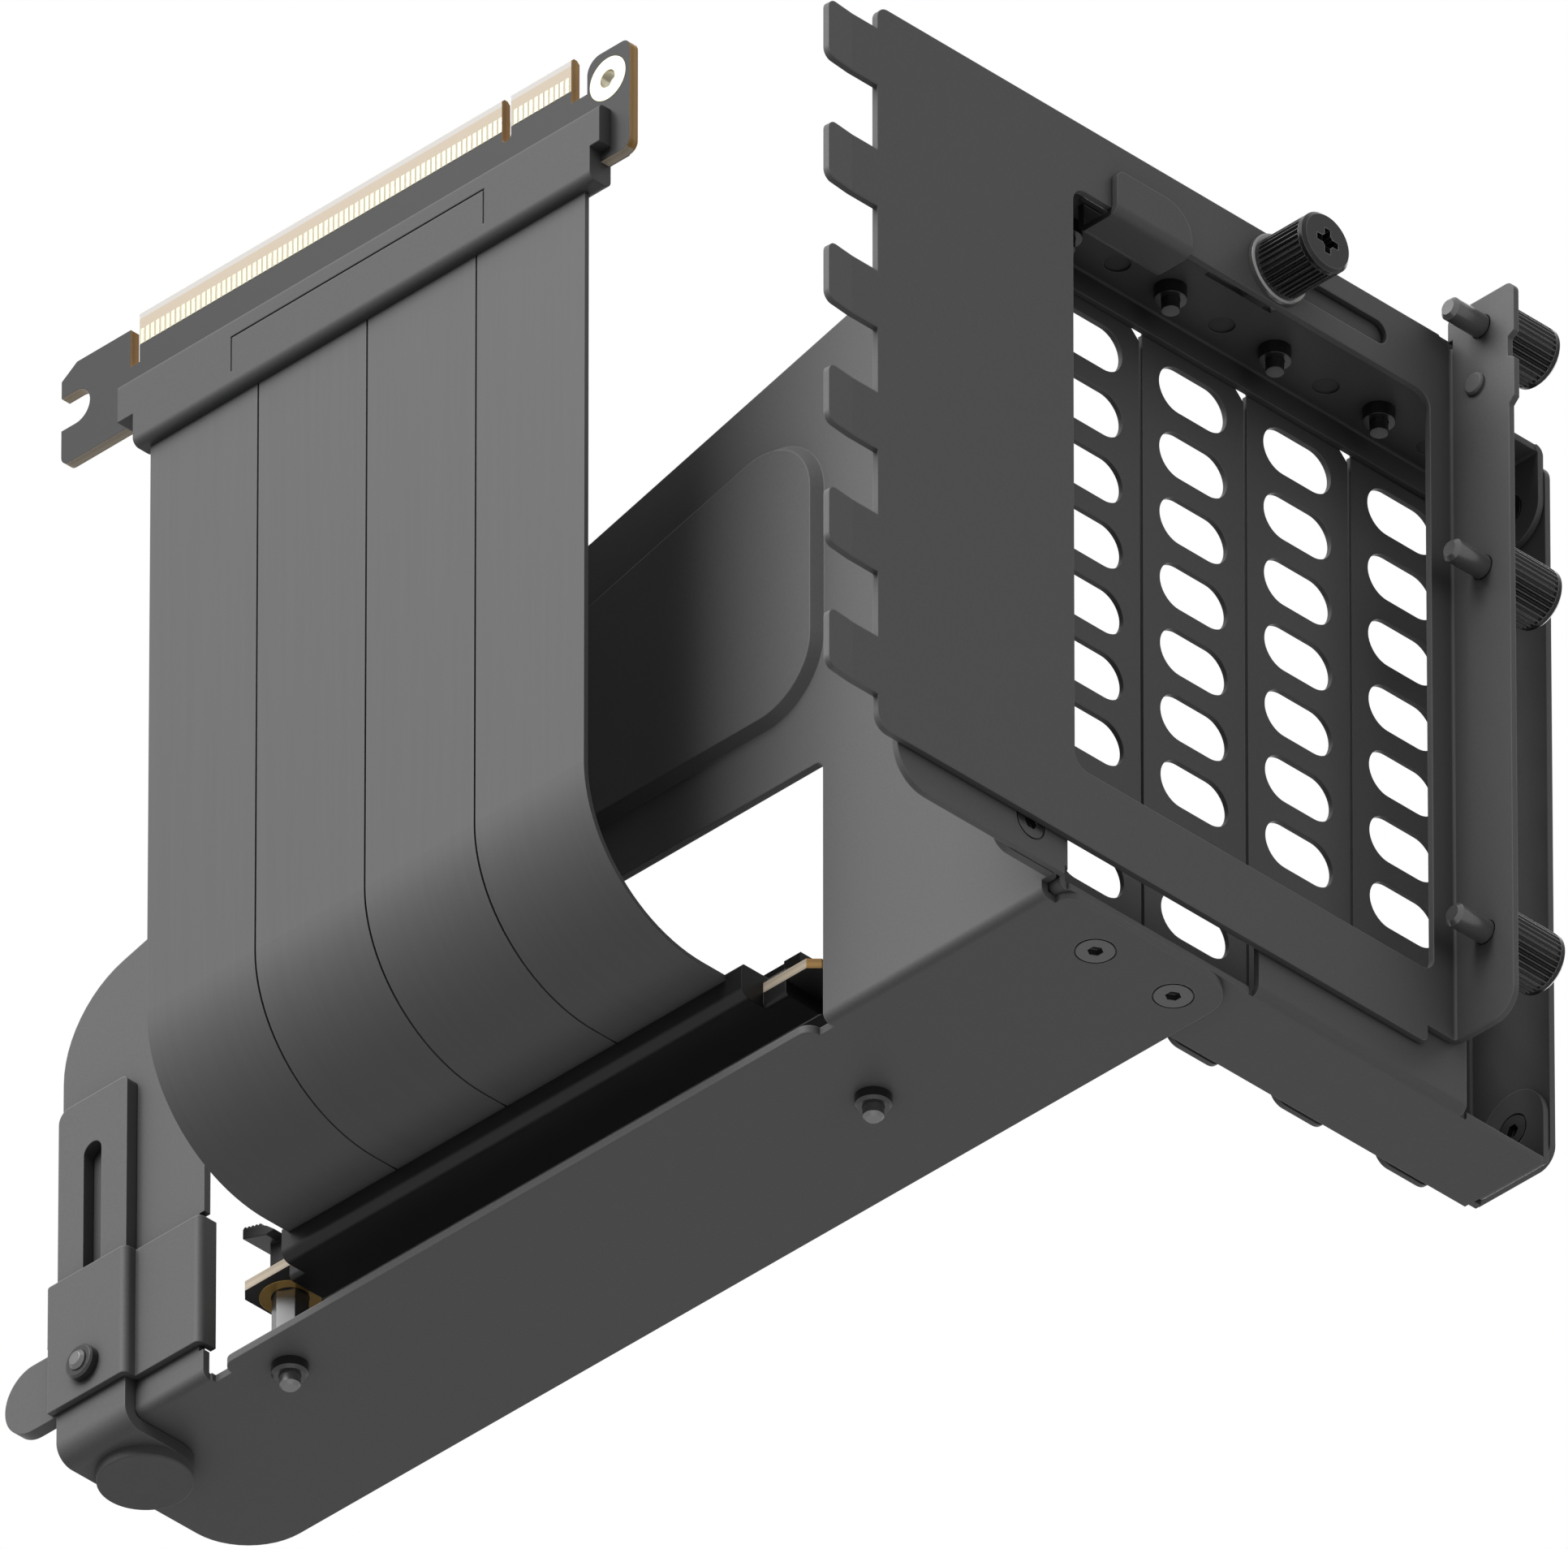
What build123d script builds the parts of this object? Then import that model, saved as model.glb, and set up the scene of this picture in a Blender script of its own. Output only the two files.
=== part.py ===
"""Vertical graphics card mount: folded brackets, a sliding frame, an adjustable foot and a flat riser."""
import os
from math import atan2, cos, degrees, radians, sin, tan

from build123d import *

os.makedirs("parts", exist_ok=True)

# Sheet and clearances
bracket_t = 1.2          # base and side bracket sheet
cage_t = 1.0             # cage, wall, frame and guide sheet
cover_t = 0.8            # slot cover sheet
fold_r = 1.4             # outer radius of a fold
slip = 0.1               # gap between sheets that slide or nest

# Base and side bracket: the corner of its outer faces is the datum, X to the rear, Y away from the board
base_right = 44.4
base_depth = 35.9
base_left_r = 10.0
base_right_r = 6.0
left_leg_w = 27.8
right_leg_left = 0.0
window_top = 43.5
window_corner_r = 1.5
slit_left = 3.5          # from the left leg to the base's front edge in the window
slit_right = 2.7         # and from the right leg
side_left_top = 74.6     # height of the sloped edge over its left end
side_slope = 15.06       # degrees
side_left_r = 15.6
relief = 2.4             # depth of the notches beside a fold
relief_r = 2.0
guide_bite = 0.9         # depth of the notches that hold the guide's edges
flange_depth = 11.0      # folded edge that the cage is screwed to
flange_low = 2.3
flange_high = 118.0
flange_r = 3.0

# Pressed panel in the side
press_h = 1.6
press_wall = 1.2         # width of its sloped wall
press_left_gap = 5.0     # from the left leg
press_right = 0.25
press_low = 53.6
press_margin = 11.1      # below the side's sloped edge
press_r = 11.0

# Slots: one pitch serves the covers, their screws and the frame's teeth
slot_pitch = 20.32
slot_count = 4
first_slot_y = 22.7

# Cage
cage_back = 29.4
cage_ledge_z = 120.7     # underside
ledge_lip_low = 116.9    # lower edge of the lip behind the ledge
cage_right = 95.8
cage_flange_left = -31.2
cage_flange_low = 2.4
cage_flange_low_r = 6.0
cage_flange_top = 129.1
cage_top_left = -15.0
cage_top_right = 86.0
panel_left = 38.4
panel_right = 78.6
panel_top = 17.0
wall_tab_x = 38.2
wall_tab_w = 12.0
wall_tab_h = 14.8
wall_screw_z = 8.4       # from the plate that the tab is bent from
cage_wall_top = 119.8
cage_wall_lip = 2.2

# Slot covers
cover_gap = 0.6
cover_face_x = 28.7
cover_low = 1.6
cover_shoulder = 9.0
tongue_w = 10.7
cover_corner = 1.7       # clipped off its upper right corner
cover_corner_z = 115.5
cover_tab_front = 40.6
vent_w = 13.2
vent_h = 7.4
vent_pitch = 11.0
vent_rows = 9
vent_low = 23.0
cover_screw_x = 35.5
cover_screw_side = 9.12  # from the cover's middle
dimple_x = 34.3
dimple_d = 3.8
dimple_depth = 0.4
hook_left = 9.3
hook_right = 23.9
hook_wall_x = 41.1       # front of the step down from the ledge
hook_z = 116.0           # underside
hook_top = 123.2
hook_left_r = 1.5
hook_right_r = 5.0
nut_notch_x = 41.0       # notch in the ledge that clears the slide's nut
nut_notch_left = 32.8
nut_notch_right = 45.7

# Frame that slides across the cage
frame_left = -36.0
frame_right = 76.4       # outer face of its flange
frame_low = 8.0
frame_top = 128.2
window_left = 1.8
window_right = 71.3
window_low = 20.2
window_high = 117.2
tooth_h = 9.46
tooth_flat = 4.9
tooth_bent = 5.0
tooth_bend = 5.0         # degrees
tooth_tip_r = 1.5
tooth_count = 6
top_tooth_z = 119.5
slide_slot_z = 122.7
slide_slot_w = 3.8
slide_slot_left = 39.2
slide_slot_right = 62.9
frame_flange_x = 58.6
frame_flange_low = 10.9
frame_flange_top = 132.5
frame_flange_gap = 5.0    # from the flange's fold to the frame's lower edge
frame_flange_step = 3.0  # height of that corner
frame_ear_low = 112.2    # the flange is wider above this height
frame_notch_low = 119.6
frame_notch_high = 124.2
frame_rivet = (51.3, 118.5)
frame_rivet_d = 3.5
frame_rivet_h = 0.7      # with its sloped end
rivet_slope_h = 0.3
frame_screw_x = 52.3
frame_screw_z = (26.2, 87.2, 127.8)

# Thumbscrews
knob_d = 9.3
knob_l = 10.3
thumb_d = 3.5
thumb_reach = 6.5        # of a flange screw past its flange
thumb_neck_d = 3.0       # plain neck that runs in the flange's hole
thumb_neck_l = 1.1
flutes = 34
flute_d = 0.76
knob_band = 1.2          # plain end of a knob, past its flutes
cross_l = 4.1            # cross recess
cross_w = 1.1
cross_depth = 1.6
small_cross_depth = 1.0
slide_screw_y = 41.2
slide_knob_l = 9.0
washer_t = 1.0
washer_d = 10.7

# Foot
foot_t = 2.0
foot_x = -139.9
foot_w = 13.4
foot_top = 56.1
foot_slot_w = 3.5
foot_slot_top = 48.1
foot_bend_r = 3.0
pad_d = 13.5
pad_t = 1.7
pad_y = 8.5
tab_reach = 11.4         # of the finger tab's round end from the foot's middle
tab_z = 10.8
tab_r = 5.44
guide_low = 5.65
guide_high = 26.7
guide_open_z = 16.8
guide_step = 1.0         # from the foot's edge to the guide's step
lock_z = 10.3
lock_d = 3.0
collar_d = 5.2
collar_h = 1.45
lock_head_d = 8.0
lock_head_l = 5.0

# Riser: two boards joined by a flat ribbon of four strips
board_t = 1.6
ribbon_t = 0.8
ribbon_left = -100.3
ribbon_w = 85.1
ribbon_y = -30.5         # outer face
ribbon_z = 12.9          # lower face
ribbon_bend_r = 23.0
strip_count = 4
strip_gap = 0.35
plug_y = -30.15          # outer face of the plug board
finger_top = 155.6
finger_h = 2.5
finger_drop = 5.7        # from the board's tip to the fingers' lower end
notch_drop = 7.8         # from the board's tip to the notches' floor
finger_w = 0.62
finger_pitch = 1.0
finger_t = 0.05
finger_side = 0.55       # from the first finger's middle to the tongue's edge
finger_far_side = 0.8    # and from the last finger's
fingers_long = 71
fingers_short = 11
key_left = -32.1
key_right = -30.3
key_to_finger = 0.9      # from the key notch to the first short finger
socket_board_z = 11.3    # underside
socket_w = 7.5
socket_h = 11.25
card_t = 1.7             # slot for a card's edge
card_depth = 8.0
end_left = 2.25          # from the last contact to the socket's end
end_right = 3.45
slot_y = 14.35
left_stand = (-109.7, 6.55)
right_stand = (-7.9, 17.6)
stand_hex = 4.6          # across flats
screw_d = 3.0
stand_tip = 3.7          # below the base
stand_collar_h = 1.8
stand_bore = 6.0         # depth of its threaded hole
board_head_d = 5.4
board_head_h = 1.8
board_screw_l = 5.0      # past the board

boot_y = -32.35          # outer face of the plug housing
boot_left = -101.95
boot_right = -12.8
boot_front = -3.15       # front face of the socket housing
boot_back = 6.0          # depth of its upper part
boot_drop = 12.7         # from the board's tip to the housing's top
boot_step_h = 6.3        # its upper part
boot_floor_h = 5.3       # the board's lower edge inside it
boot_h = 11.6
boot_lower_back = 4.1
boot_side = 1.85         # of its upper part past the lower part, on the right
boot_far_side = 3.05     # and on the left
frame_line_left = -82.8
frame_line_right = -33.3
frame_line_h = 5.9
frame_line_drop = 3.0    # below the housing's top
frame_line_w = 0.3
frame_line_depth = 0.2
plug_left = -118.3
plug_right = -7.25
plug_h = 18.6            # from its tip to the lower edge of its left ear
plug_right_h = 20.6
plug_ear_drop = 2.3      # from the board's tip to the ears' upper edges
plug_ear_gap = 3.1       # between the fingers and the right ear
plug_left_gap = 1.75     # and the left ear
plug_left_drop = 0.8     # of the left notch below the right one
plug_corner_w = 3.0      # clipped off its upper left corner
plug_corner_h = 2.0
plug_slot_drop = 9.9
plug_slot_depth = 5.6
plug_slot_w = 5.5
plug_hole_x = -11.5
plug_hole_drop = 7.2
plated_r = 1.65
plated_ring_r = 3.45
key_slot_play = 0.3      # from the key notch to the last long finger
contact_t = 0.1
contact_w = 0.5
contact_h = 4.0
contact_drop = 1.2       # from the socket's mouth to the contacts
key_rib = 0.9            # half the width of the socket's key
key_to_contact = 1.65
card_key_x = -30.0
pin_r = 0.9
cover_screw_tip = 116.8

# Socket board and the housing moulded round its edge
board_left = -114.4
board_right = -2.7
board_back = 22.5
board_y = 0.95
housing_left = -104.2
housing_right = -8.1
housing_back = 8.2
housing_low = 8.9
housing_top = 13.6
housing_nose_left = -101.6
housing_nose_right = -12.45
housing_nose_top = 14.2
ring_d = 8.6
end_block = 3.2          # solid end of the card socket
end_wall = 1.7
cheek_l = 6.2            # of the cheeks past the socket's end
cheek_t = 1.5
cheek_low = 19.5         # top of the cheeks at their far end
cheek_high = 22.5        # and beside the socket
cheek_step = 2.2         # from the socket's end to where they are cut down
pivot_gap = 3.3          # from the socket's end to the latch's pivot
pivot_z = 16.8

# Latch: an arm from its hub to a finger head outside the board, and a nose over the card
hub_r = 2.2
arm_w = 2.2
arm_left = -120.5        # outer face of its upright
arm_t = 2.7              # thickness of the upright
arm_low = 15.0           # underside, at the hub
arm_h = 3.6              # at the hub
arm_top = 29.2
nose_top = 27.6
nose_reach = 1.2         # past the socket's end, over the card
head_front = 3.45        # of the finger head, from the slot's middle
head_w = 5.4
head_left = -123.5
head_top = 31.6
head_slope = 0.27        # fall of its top for each millimetre to the rear
teeth_count = 5
teeth_pitch = 0.73
teeth_r = 0.32

# Fasteners
hole_play = 0.05         # radial, of a screw in its hole
base_screw_x = 37.75
base_screw_ys = (14.5, 29.5)
base_head_d = 5.4
base_screw_l = 4.2
wall_head_d = 5.0
flange_screw_y = -5.6
flange_screw_zs = (7.7, 108.0)
flange_screw_l = 4.4
hex_recess = 2.0         # across flats
hex_depth = 1.0
cover_screw_d = 2.6
cover_head_d = 6.0
cover_collar_d = 4.6
cover_collar_h = 2.1
cover_head_h = 2.0
rim_gap = 0.25           # ring round a sunk screw's head
slide_nut_hex = 6.0
slide_nut_t = 2.4

# Card socket: its ends follow the number of contacts
socket_left = card_key_x - key_to_contact - finger_pitch * (fingers_long - 1) - end_left
socket_right = card_key_x + key_to_contact + finger_pitch * (fingers_short - 1) + end_right
socket_l = socket_right - socket_left
slot_x = (socket_left + socket_right) / 2    # middle of the card slot

# Base planes: the part's origin is on the base's underside, below the middle of the card slot
datum = (-slot_x, -slot_y, 0)
top = Plane(origin=datum, x_dir=(1, 0, 0), z_dir=(0, 0, 1))
front = Plane(origin=datum, x_dir=(1, 0, 0), z_dir=(0, -1, 0))
rear = Plane(origin=datum, x_dir=(0, 1, 0), z_dir=(1, 0, 0))

# Places worked out from the sizes above
foot_left = foot_x - foot_w / 2
foot_right = foot_x + foot_w / 2
leg_left = foot_left - 1.2
left_leg_right = leg_left + left_leg_w
base_left = leg_left + 0.3
press_left = left_leg_right + press_left_gap
press_taper = degrees(atan2(press_wall, press_h))
tab_x = foot_x - tab_reach
guide_step_x = foot_right + guide_step
finger_low = finger_top - finger_drop
notch_low = finger_top - notch_drop
boot_top = finger_top - boot_drop
boot_step = boot_top - boot_step_h
boot_floor = boot_top - boot_floor_h
boot_low = boot_top - boot_h
plug_low = finger_top - plug_h
plug_right_low = finger_top - plug_right_h
plug_slot_z = finger_top - plug_slot_drop
plug_hole = (plug_hole_x, finger_top - plug_hole_drop)
finger_left = key_left - key_slot_play - finger_pitch * (fingers_long - 1)
cage_y = bracket_t + slip
cage_front = base_right
flange_out = cage_front - slip
frame_back = cage_front + cage_t + slip
frame_front = frame_back + cage_t
ledge_top = cage_ledge_z + cage_t
socket_top_z = socket_board_z + board_t
slot_ys = [first_slot_y + slot_pitch * n for n in range(slot_count)]
cover_screw_ys = [first_slot_y + cover_screw_side + slot_pitch * n for n in range(-1, slot_count - 1)]
wall_screw_zs = (bracket_t + wall_screw_z, ledge_top - wall_screw_z)
tooth_zs = [top_tooth_z - slot_pitch * n for n in range(tooth_count)]


def at_y(y):
    """Plane facing -Y at y: an extrude of a negative amount goes towards +Y."""
    return front.offset(-y)


def at_x(x):
    return rear.offset(x)


def at_z(z):
    return top.offset(z)


def outline(*points, mode=Mode.ADD):
    """Closed face through the points, in the sketch that is open."""
    Polygon(*points, align=None, mode=mode)


def fold(plane, centre, start, length, thickness, outer=fold_r):
    """Quarter bend of a sheet about centre, from the angle start, drawn on plane and extruded by length."""
    with BuildSketch(plane) as section:
        with BuildLine():
            big = CenterArc(centre, outer, start, 90)
            small = CenterArc(centre, outer - thickness, start, 90)
            Line(big @ 0, small @ 0)
            Line(big @ 1, small @ 1)
        make_face()
    extrude(section.sketch, amount=length)


def underside(x, y, z=0):
    """Plane at a point, facing down."""
    return Plane(origin=top.from_local_coords((x, y, z)), x_dir=(1, 0, 0), z_dir=(0, 0, -1))


def facing_front(x, z, y=0):
    return Plane(origin=top.from_local_coords((x, y, z)), x_dir=(1, 0, 0), z_dir=(0, -1, 0))


def facing_back(x, z, y=0):
    return Plane(origin=top.from_local_coords((x, y, z)), x_dir=(1, 0, 0), z_dir=(0, 1, 0))


def facing_rear(x, y, z):
    return Plane(origin=top.from_local_coords((x, y, z)), x_dir=(0, 1, 0), z_dir=(1, 0, 0))


def drill(plane, radius, depth):
    """Round hole from the plane into the sheet behind it."""
    with BuildSketch(plane) as hole:
        Circle(radius)
    extrude(hole.sketch, amount=-depth, mode=Mode.SUBTRACT)


def sink(plane, head_d, depth=3):
    """Countersunk hole for a flat screw, with the screw's own play."""
    radius = screw_d / 2 + hole_play
    with BuildSketch(plane) as mouth:
        Circle(head_d / 2 + hole_play)
    extrude(mouth.sketch, amount=-(head_d - screw_d) / 2, taper=45, mode=Mode.SUBTRACT)
    drill(plane, head_d / 2 + rim_gap, rim_gap)
    drill(plane, radius, depth)


def slope_z(x):
    """Height of the side's sloped top edge at x."""
    return side_left_top + tan(radians(side_slope)) * (x - leg_left)


def soften(sketch, radius, *points):
    """Fillet the corners of the open sketch that lie nearest to the points."""
    fillet([sketch.vertices().sort_by_distance((x, z, 0))[0] for x, z in points], radius)


def write(piece, name):
    piece.part.label = name
    export_step(piece.part, f"parts/{name}.step")


# Base and side bracket, one folded sheet
with BuildPart() as bracket:
    left_slit = left_leg_right + slit_left
    right_slit = right_leg_left - slit_right
    with BuildSketch(at_z(0)) as base_outline:
        outline((base_left, fold_r), (left_leg_right + 0.3, fold_r), (left_leg_right + 0.3, relief - 0.25),
                (left_slit, relief - 0.25), (left_slit, 0), (right_slit, 0), (right_slit, relief - 0.3),
                (right_leg_left, relief - 0.3), (right_leg_left, fold_r), (base_right - relief - 0.1, fold_r),
                (base_right - relief - 0.1, relief + 0.2), (base_right, relief + 0.2),
                (base_right, base_depth), (base_left, base_depth))
        soften(base_outline, base_left_r, (base_left, base_depth))
        soften(base_outline, base_right_r, (base_right, base_depth))
        soften(base_outline, relief_r, (left_slit, 0), (right_slit, 0), (base_right, relief + 0.2))
    extrude(amount=bracket_t)
    side_right = base_right - slip - fold_r
    with BuildSketch(at_y(0)) as side_outline:
        outline((leg_left, fold_r), (leg_left, slope_z(leg_left)), (side_right, slope_z(side_right)),
                (side_right, relief + 0.2), (base_right - relief - 0.1, relief + 0.2),
                (base_right - relief - 0.1, fold_r), (right_leg_left, fold_r), (right_leg_left, window_top),
                (left_leg_right, window_top), (left_leg_right, guide_high + 1),
                (left_leg_right - guide_bite, guide_high + 1), (left_leg_right - guide_bite, guide_low - 1),
                (left_leg_right, guide_low - 1), (left_leg_right, fold_r))
        outline((leg_left, guide_open_z - 1), (leg_left + guide_bite, guide_open_z - 1),
                (leg_left + guide_bite, guide_high + 1), (leg_left, guide_high + 1), mode=Mode.SUBTRACT)
        soften(side_outline, side_left_r, (leg_left, slope_z(leg_left)))
        soften(side_outline, window_corner_r, (right_leg_left, window_top), (left_leg_right, window_top))
    extrude(amount=-bracket_t)
    for leg_x, leg_end in ((leg_left, left_leg_right), (right_leg_left, base_right - relief - 0.1)):
        fold(at_x(leg_x), (fold_r, fold_r), 180, leg_end - leg_x, bracket_t)
    fold(at_z(relief + 0.2), (side_right, bracket_t - fold_r), 0, flange_high - relief - 0.2, bracket_t)
    with BuildSketch(at_x(side_right + fold_r)) as flange_outline:
        outline((bracket_t - fold_r, flange_low), (bracket_t - fold_r, flange_high),
                (-flange_depth, flange_high), (-flange_depth, flange_low))
        soften(flange_outline, flange_r, (-flange_depth, flange_low), (-flange_depth, flange_high))
    extrude(amount=-bracket_t)
    press_top_left = slope_z(press_left) - press_margin
    press_top_right = slope_z(press_right) - press_margin
    with BuildSketch(at_y(0)) as press:
        outline((press_left, press_low), (press_right, press_low), (press_right, press_top_right),
                (press_left, press_top_left))
        soften(press, press_r, (press_right, press_low), (press_right, press_top_right))
        soften(press, 0.7 * press_r, (press_left, press_low), (press_left, press_top_left))
    press_face = press.sketch
    extrude(press_face, amount=press_h, taper=press_taper)
    inner_face = press_face.moved(Location((0, bracket_t, 0)))
    extrude(inner_face, amount=press_h, taper=press_taper, mode=Mode.SUBTRACT)
    # Holes: two studs and two flat screws in the base, the foot's lock screw, and the cage's flange screws
    for x, y in (left_stand, right_stand):
        drill(underside(x, y), screw_d / 2 + hole_play, bracket_t)
    for y in base_screw_ys:
        sink(underside(base_screw_x, y), base_head_d)
    drill(facing_front(foot_x, lock_z), lock_d / 2 + hole_play, bracket_t)
    for z in flange_screw_zs:
        drill(facing_rear(flange_out, flange_screw_y, z), screw_d / 2 + hole_play, bracket_t)
write(bracket, "base_side_bracket")


# Slot cage: bottom, side and ledge in one folded sheet, with its front flanges, hook and screw tabs
with BuildPart() as cage:
    tab_fold = cage_right - fold_r
    with BuildSketch(at_x(cage_back + slip)) as channel:
        with BuildLine():
            middle = cage_t / 2
            FilletPolyline((tab_fold, bracket_t + middle), (cage_y + middle, bracket_t + middle),
                           (cage_y + middle, cage_ledge_z + middle), (tab_fold, cage_ledge_z + middle),
                           radius=fold_r - middle)
        trace(line_width=cage_t)
    extrude(amount=cage_front + cage_t - fold_r - cage_back - slip)
    fold_x = cage_front + cage_t - fold_r
    # The ledge's back edge is folded down into a lip that the covers stand against
    lip_back = cover_face_x + slip
    lip_left = cage_y + fold_r
    lip_right = first_slot_y + slot_pitch * (slot_count - 0.5)
    with BuildSketch(at_z(cage_ledge_z - fold_r)):
        outline((cage_back, cage_y - slip), (lip_back + fold_r, cage_y - slip),
                (lip_back + fold_r, cage_right), (cage_back, cage_right))
    extrude(amount=2 * fold_r + cage_t, mode=Mode.SUBTRACT)
    fold(at_y(lip_left), (lip_back + fold_r, ledge_top - fold_r), 90, lip_left - lip_right, cage_t)
    with BuildSketch(at_x(lip_back)):
        outline((lip_left, ledge_lip_low), (lip_right, ledge_lip_low), (lip_right, ledge_top - fold_r),
                (lip_left, ledge_top - fold_r))
    extrude(amount=cage_t)
    with BuildSketch(at_x(cage_front)) as flange_face:
        outline((cage_flange_left, cage_flange_low), (cage_y + cage_t - fold_r, cage_flange_low),
                (cage_y + cage_t - fold_r, cage_ledge_z + fold_r), (cage_top_right, cage_ledge_z + fold_r),
                (cage_top_right, cage_flange_top), (cage_top_left, cage_flange_top),
                (cage_flange_left, cage_flange_top + cage_flange_left - cage_top_left))
        soften(flange_face, cage_flange_low_r, (cage_flange_left, cage_flange_low))
        soften(flange_face, 2, (cage_top_left, cage_flange_top), (cage_top_right, cage_flange_top))
    extrude(amount=cage_t)
    fold(at_z(cage_flange_low + fold_r), (fold_x, cage_y + cage_t - fold_r), 0,
         cage_ledge_z - cage_flange_low - fold_r, cage_t)
    fold(at_y(cage_y + fold_r), (fold_x, cage_ledge_z + fold_r), 270,
         -(cage_top_right - cage_y - fold_r), cage_t)
    # Bottom front edge, and the panel that is bent up from it
    with BuildSketch(at_z(bracket_t)) as bottom_edge:
        outline((fold_x - 1, cage_y + fold_r), (cage_front, cage_y + fold_r), (cage_front, panel_left - 1),
                (fold_x - 1, panel_left - 1))
        soften(bottom_edge, 0.35, (cage_front, cage_y + fold_r))
        outline((fold_x - 1, panel_right + 1), (cage_front, panel_right + 1), (cage_front, tab_fold),
                (fold_x - 1, tab_fold))
    extrude(amount=cage_t)
    fold(at_y(panel_left), (fold_x, bracket_t + fold_r), 270, panel_left - panel_right, cage_t)
    with BuildSketch(at_x(cage_front)) as panel:
        outline((panel_left, bracket_t + fold_r), (panel_right, bracket_t + fold_r), (panel_right, panel_top),
                (panel_left, panel_top))
        soften(panel, 2, (panel_left, panel_top), (panel_right, panel_top))
    extrude(amount=cage_t)
    # Right edges of the bottom and the ledge, each with a rounded screw tab
    tab_left = wall_tab_x - wall_tab_w / 2
    tab_right = wall_tab_x + wall_tab_w / 2
    for plate_z, angle, way in ((bracket_t, 270, 1), (cage_ledge_z, 0, -1)):
        with BuildSketch(at_z(plate_z)):
            outline((lip_back + fold_r, tab_fold), (tab_left - 1, tab_fold), (tab_left - 1, cage_right),
                    (lip_back + fold_r, cage_right))
        extrude(amount=cage_t)
        outer_z = bracket_t if way > 0 else ledge_top
        fold(at_x(tab_left), (tab_fold, outer_z + way * fold_r), angle, wall_tab_w, cage_t)
        with BuildSketch(at_y(cage_right - cage_t)) as tab_face:
            tab_end = outer_z + way * wall_tab_h
            outline((tab_left, outer_z + way * fold_r), (tab_right, outer_z + way * fold_r),
                    (tab_right, tab_end), (tab_left, tab_end))
            soften(tab_face, 0.49 * wall_tab_w, (tab_left, tab_end), (tab_right, tab_end))
        extrude(amount=-cage_t)
    # Hook: a tab that steps down from the ledge, passes through the frame's window and turns up
    hook_face_x = frame_front + slip + cage_t
    with BuildSketch(at_z(cage_ledge_z - slip)):
        outline((hook_wall_x, hook_left - 1), (cage_front + 2 * cage_t, hook_left - 1),
                (cage_front + 2 * cage_t, hook_right + 1), (hook_wall_x, hook_right + 1))
    extrude(amount=4 * cage_t, mode=Mode.SUBTRACT)
    with BuildSketch(at_y(hook_left)):
        with BuildLine():
            FilletPolyline((hook_wall_x - 2 * cage_t, cage_ledge_z + middle),
                           (hook_wall_x - middle, cage_ledge_z + middle),
                           (hook_wall_x - middle, hook_z + middle), (hook_face_x - middle, hook_z + middle),
                           (hook_face_x - middle, hook_z + 2 * cage_t),
                           radius=fold_r - middle)
        trace(line_width=cage_t)
    extrude(amount=hook_left - hook_right)
    with BuildSketch(at_x(hook_face_x - cage_t)) as hook_face:
        outline((hook_left, hook_z + 2 * cage_t), (hook_right, hook_z + 2 * cage_t),
                (hook_right, hook_top), (hook_left, hook_top))
        soften(hook_face, hook_left_r, (hook_left, hook_top))
        soften(hook_face, hook_right_r, (hook_right, hook_top))
    extrude(amount=cage_t)
    # Holes for its screws, and the pressed locating dimples between them
    for y in base_screw_ys:
        drill(underside(base_screw_x, y, bracket_t), screw_d / 2 + hole_play, cage_t)
    for z in flange_screw_zs:
        sink(facing_rear(cage_front + cage_t, flange_screw_y, z), wall_head_d)
    for z in wall_screw_zs:
        sink(facing_front(wall_tab_x, z, cage_right - cage_t), wall_head_d)
    drill(facing_rear(cage_front + cage_t, slide_screw_y, slide_slot_z), thumb_d / 2 + hole_play, cage_t)
    for y in cover_screw_ys:
        drill(underside(cover_screw_x, y, cage_ledge_z), cover_screw_d / 2 + hole_play, cage_t)
    for y in slot_ys:
        drill(underside(dimple_x, y, cage_ledge_z), dimple_d / 2, dimple_depth)
    with BuildSketch(at_z(cage_ledge_z)):
        outline((nut_notch_x, nut_notch_left), (cage_front, nut_notch_left), (cage_front, nut_notch_right),
                (nut_notch_x, nut_notch_right))
    extrude(amount=fold_r, mode=Mode.SUBTRACT)
write(cage, "slot_cage")

# Cage side wall, an angle with a narrow lip behind the last cover
with BuildPart() as wall:
    wall_y = cage_right + slip
    wall_back = cage_back - cage_t
    wall_low = bracket_t + cage_t
    with BuildSketch(at_y(wall_y)) as wall_face:
        outline((wall_back + fold_r, wall_low), (cage_front, wall_low), (cage_front, cage_wall_top),
                (wall_back + fold_r, cage_wall_top))
        soften(wall_face, 3, (cage_front, wall_low), (cage_front, cage_wall_top))
    extrude(amount=-cage_t)
    fold(at_z(bracket_t + 2), (wall_back + fold_r, wall_y + cage_t - fold_r), 90,
         cage_wall_top - bracket_t - 4, cage_t)
    with BuildSketch(at_x(wall_back)):
        outline((wall_y + cage_t - fold_r, bracket_t + 2), (wall_y + cage_t - fold_r, cage_wall_top - 2),
                (wall_y + cage_t - cage_wall_lip - 0.6, cage_wall_top - 2),
                (wall_y + cage_t - cage_wall_lip - 0.6, bracket_t + 2))
    extrude(amount=cage_t)
    for z in wall_screw_zs:
        drill(facing_front(wall_tab_x, z, wall_y), screw_d / 2 + hole_play, cage_t)
write(wall, "cage_side_wall")

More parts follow.
